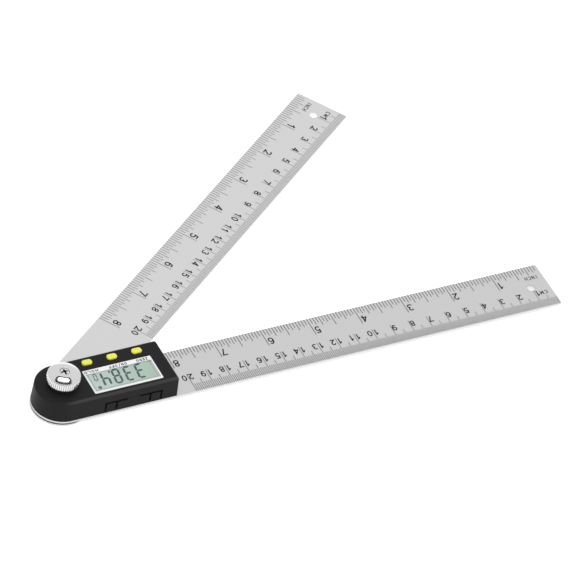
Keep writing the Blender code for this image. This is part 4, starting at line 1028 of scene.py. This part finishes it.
def screw_points(face, base, foot, head, under, shank, dome, recess):
    """Rows from the middle of the head to its rim, down under it and down the shank. The head's height is
    the face, less a dome times the radius squared, less the recess where a cross of tapering arms covers
    it. Head, under and shank are radii, and the recess is an arm's half width, reach and depth."""
    half_width, reach, depth = recess
    angle = 2 * math.pi * np.arange(SCREW_COLUMNS) / SCREW_COLUMNS
    share = np.linspace(0.001, 1, HEAD_ROWS)[:, None]
    x, y = head * share * np.cos(angle), head * share * np.sin(angle)
    along, across = np.maximum(np.abs(x), np.abs(y)), np.minimum(np.abs(x), np.abs(y))
    arm = np.clip((half_width - across) / RECESS_WALL, 0, 1)
    arm *= np.clip((reach - along) / (RECESS_TAPER * reach), 0, 1)
    crown = np.stack([x, y, face - dome * share ** 2 - depth * arm], -1)
    rim = face - dome
    heights = (rim - RIM_SHARE * (rim - base), base, base, foot, foot)
    sides = lofted(lambda radius: circle(radius, SCREW_COLUMNS), (*under, shank, shank, 0.001), heights)
    return np.concatenate([crown, sides])


def capped_surface(name, points):
    """A solid from rows of rings whose first and last rows close on the axis."""
    rows, columns = points.shape[:2]
    faces = wall_quads(rows, columns).tolist()
    faces += [list(range(columns))[::-1], list(range((rows - 1) * columns, rows * columns))]
    return mesh_piece(name, points.reshape(-1, 3), faces, merge=True)


# %% [markdown]
# The knob's screw is painted dark in its recess, as painted shade: its colour follows its height. The four
# small screws hold the cover from below, so their heads are turned down. Their height is mirrored, and their
# face is flush.

# %% Screws
low, high = (np.array(corner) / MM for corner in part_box("knob_screw"))
RECESS_SHADE = (high[2] - 0.45, high[2] - 0.2)

# The recess is painted near black below the face, fading to the plate's colour, as painted shade.
knob_screw_steel = turned_metal("chrome_screw_painted_recess_shade", "#dcdcde", 0.16)
tree = knob_screw_steel.node_tree
place = tree.nodes["Texture Coordinate"].outputs["Object"]
along = add_node(tree, "ShaderNodeSeparateXYZ", {}, {0: place}).outputs
depth = add_node(tree, "ShaderNodeMapRange", {"From Min": RECESS_SHADE[0] * MM,
                 "From Max": RECESS_SHADE[1] * MM}, {"Value": along["Z"]})
tone = add_node(tree, "ShaderNodeMix", {"A": linear("#101011"), "B": linear("#dcdcde")},
                {"Factor": depth.outputs["Result"]}, data_type="RGBA")
tree.links.new(tone.outputs["Result"], tree.nodes["Principled BSDF"].inputs["Base Color"])
points = screw_points(high[2], high[2] - 0.8, low[2], **KNOB_SCREW)
complete(capped_surface("knob_screw_cross", points), "moving_rule", knob_screw_steel, "knob_screw")
for number, centre in enumerate(screw_spots, 1):
    low, high = (np.array(corner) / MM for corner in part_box(f"housing_screw_{number}"))
    points = screw_points(0.0, -1.0, low[2] - high[2], **FLUSH_SCREW) * [1, 1, -1] + [*centre, low[2]]
    complete(capped_surface(f"flush_screw_{number}", points), "instrument", screw_steel,
             f"housing_screw_{number}")

# %% [markdown]
# ## Inside the housing
#
# The pieces inside show only when the drawer is out, or when somebody takes the finder apart, but each
# still gets the finish of what it is: a green epoxy board, copper pads, nickel, rubber and foam.

# %% Board, sensor and springs
solder_mask, tree, shader, place = new_finish("solder_mask_green", "#1f6b3a", 0.35)
tracks = add_node(tree, "ShaderNodeTexBrick", {"Scale": 1 / (2.4 * MM), "Mortar Size": 0.06,
                  "Color1": linear("#1d6536"), "Color2": linear("#216f3e"), "Mortar": linear("#2f8a50")},
                  {"Vector": place})
tree.links.new(tracks.outputs["Color"], shader.inputs["Base Color"])
paint(solder_mask, "circuit_board", "encoder_rotor")

INNER_FINISHES = (
    (moulded("potting_epoxy_black", "#0e0e10", 0.3, 0.8), "controller_chip"),
    (moulded("layered_rubber_grey", "#2c2c2f", 0.75, 0.2), "zebra_strip"),
    (moulded("closed_cell_foam", "#4a4a4a", 0.9, 0.35), "lcd_cushion"),
    (turned_metal("nickel_plated_spring", "#cbb98e", 0.3, 0.6), "contact_negative", "contact_positive"),
    (turned_metal("nickel_plated_cell", "#cfd0d2", 0.22, 0.5), "battery_cell"),
    (turned_metal("dome_sheet_steel", "#bfc0c2", 0.35, 0.8), "dome_sheet"))
for finish, *nodes in INNER_FINISHES:
    paint(finish, *nodes)
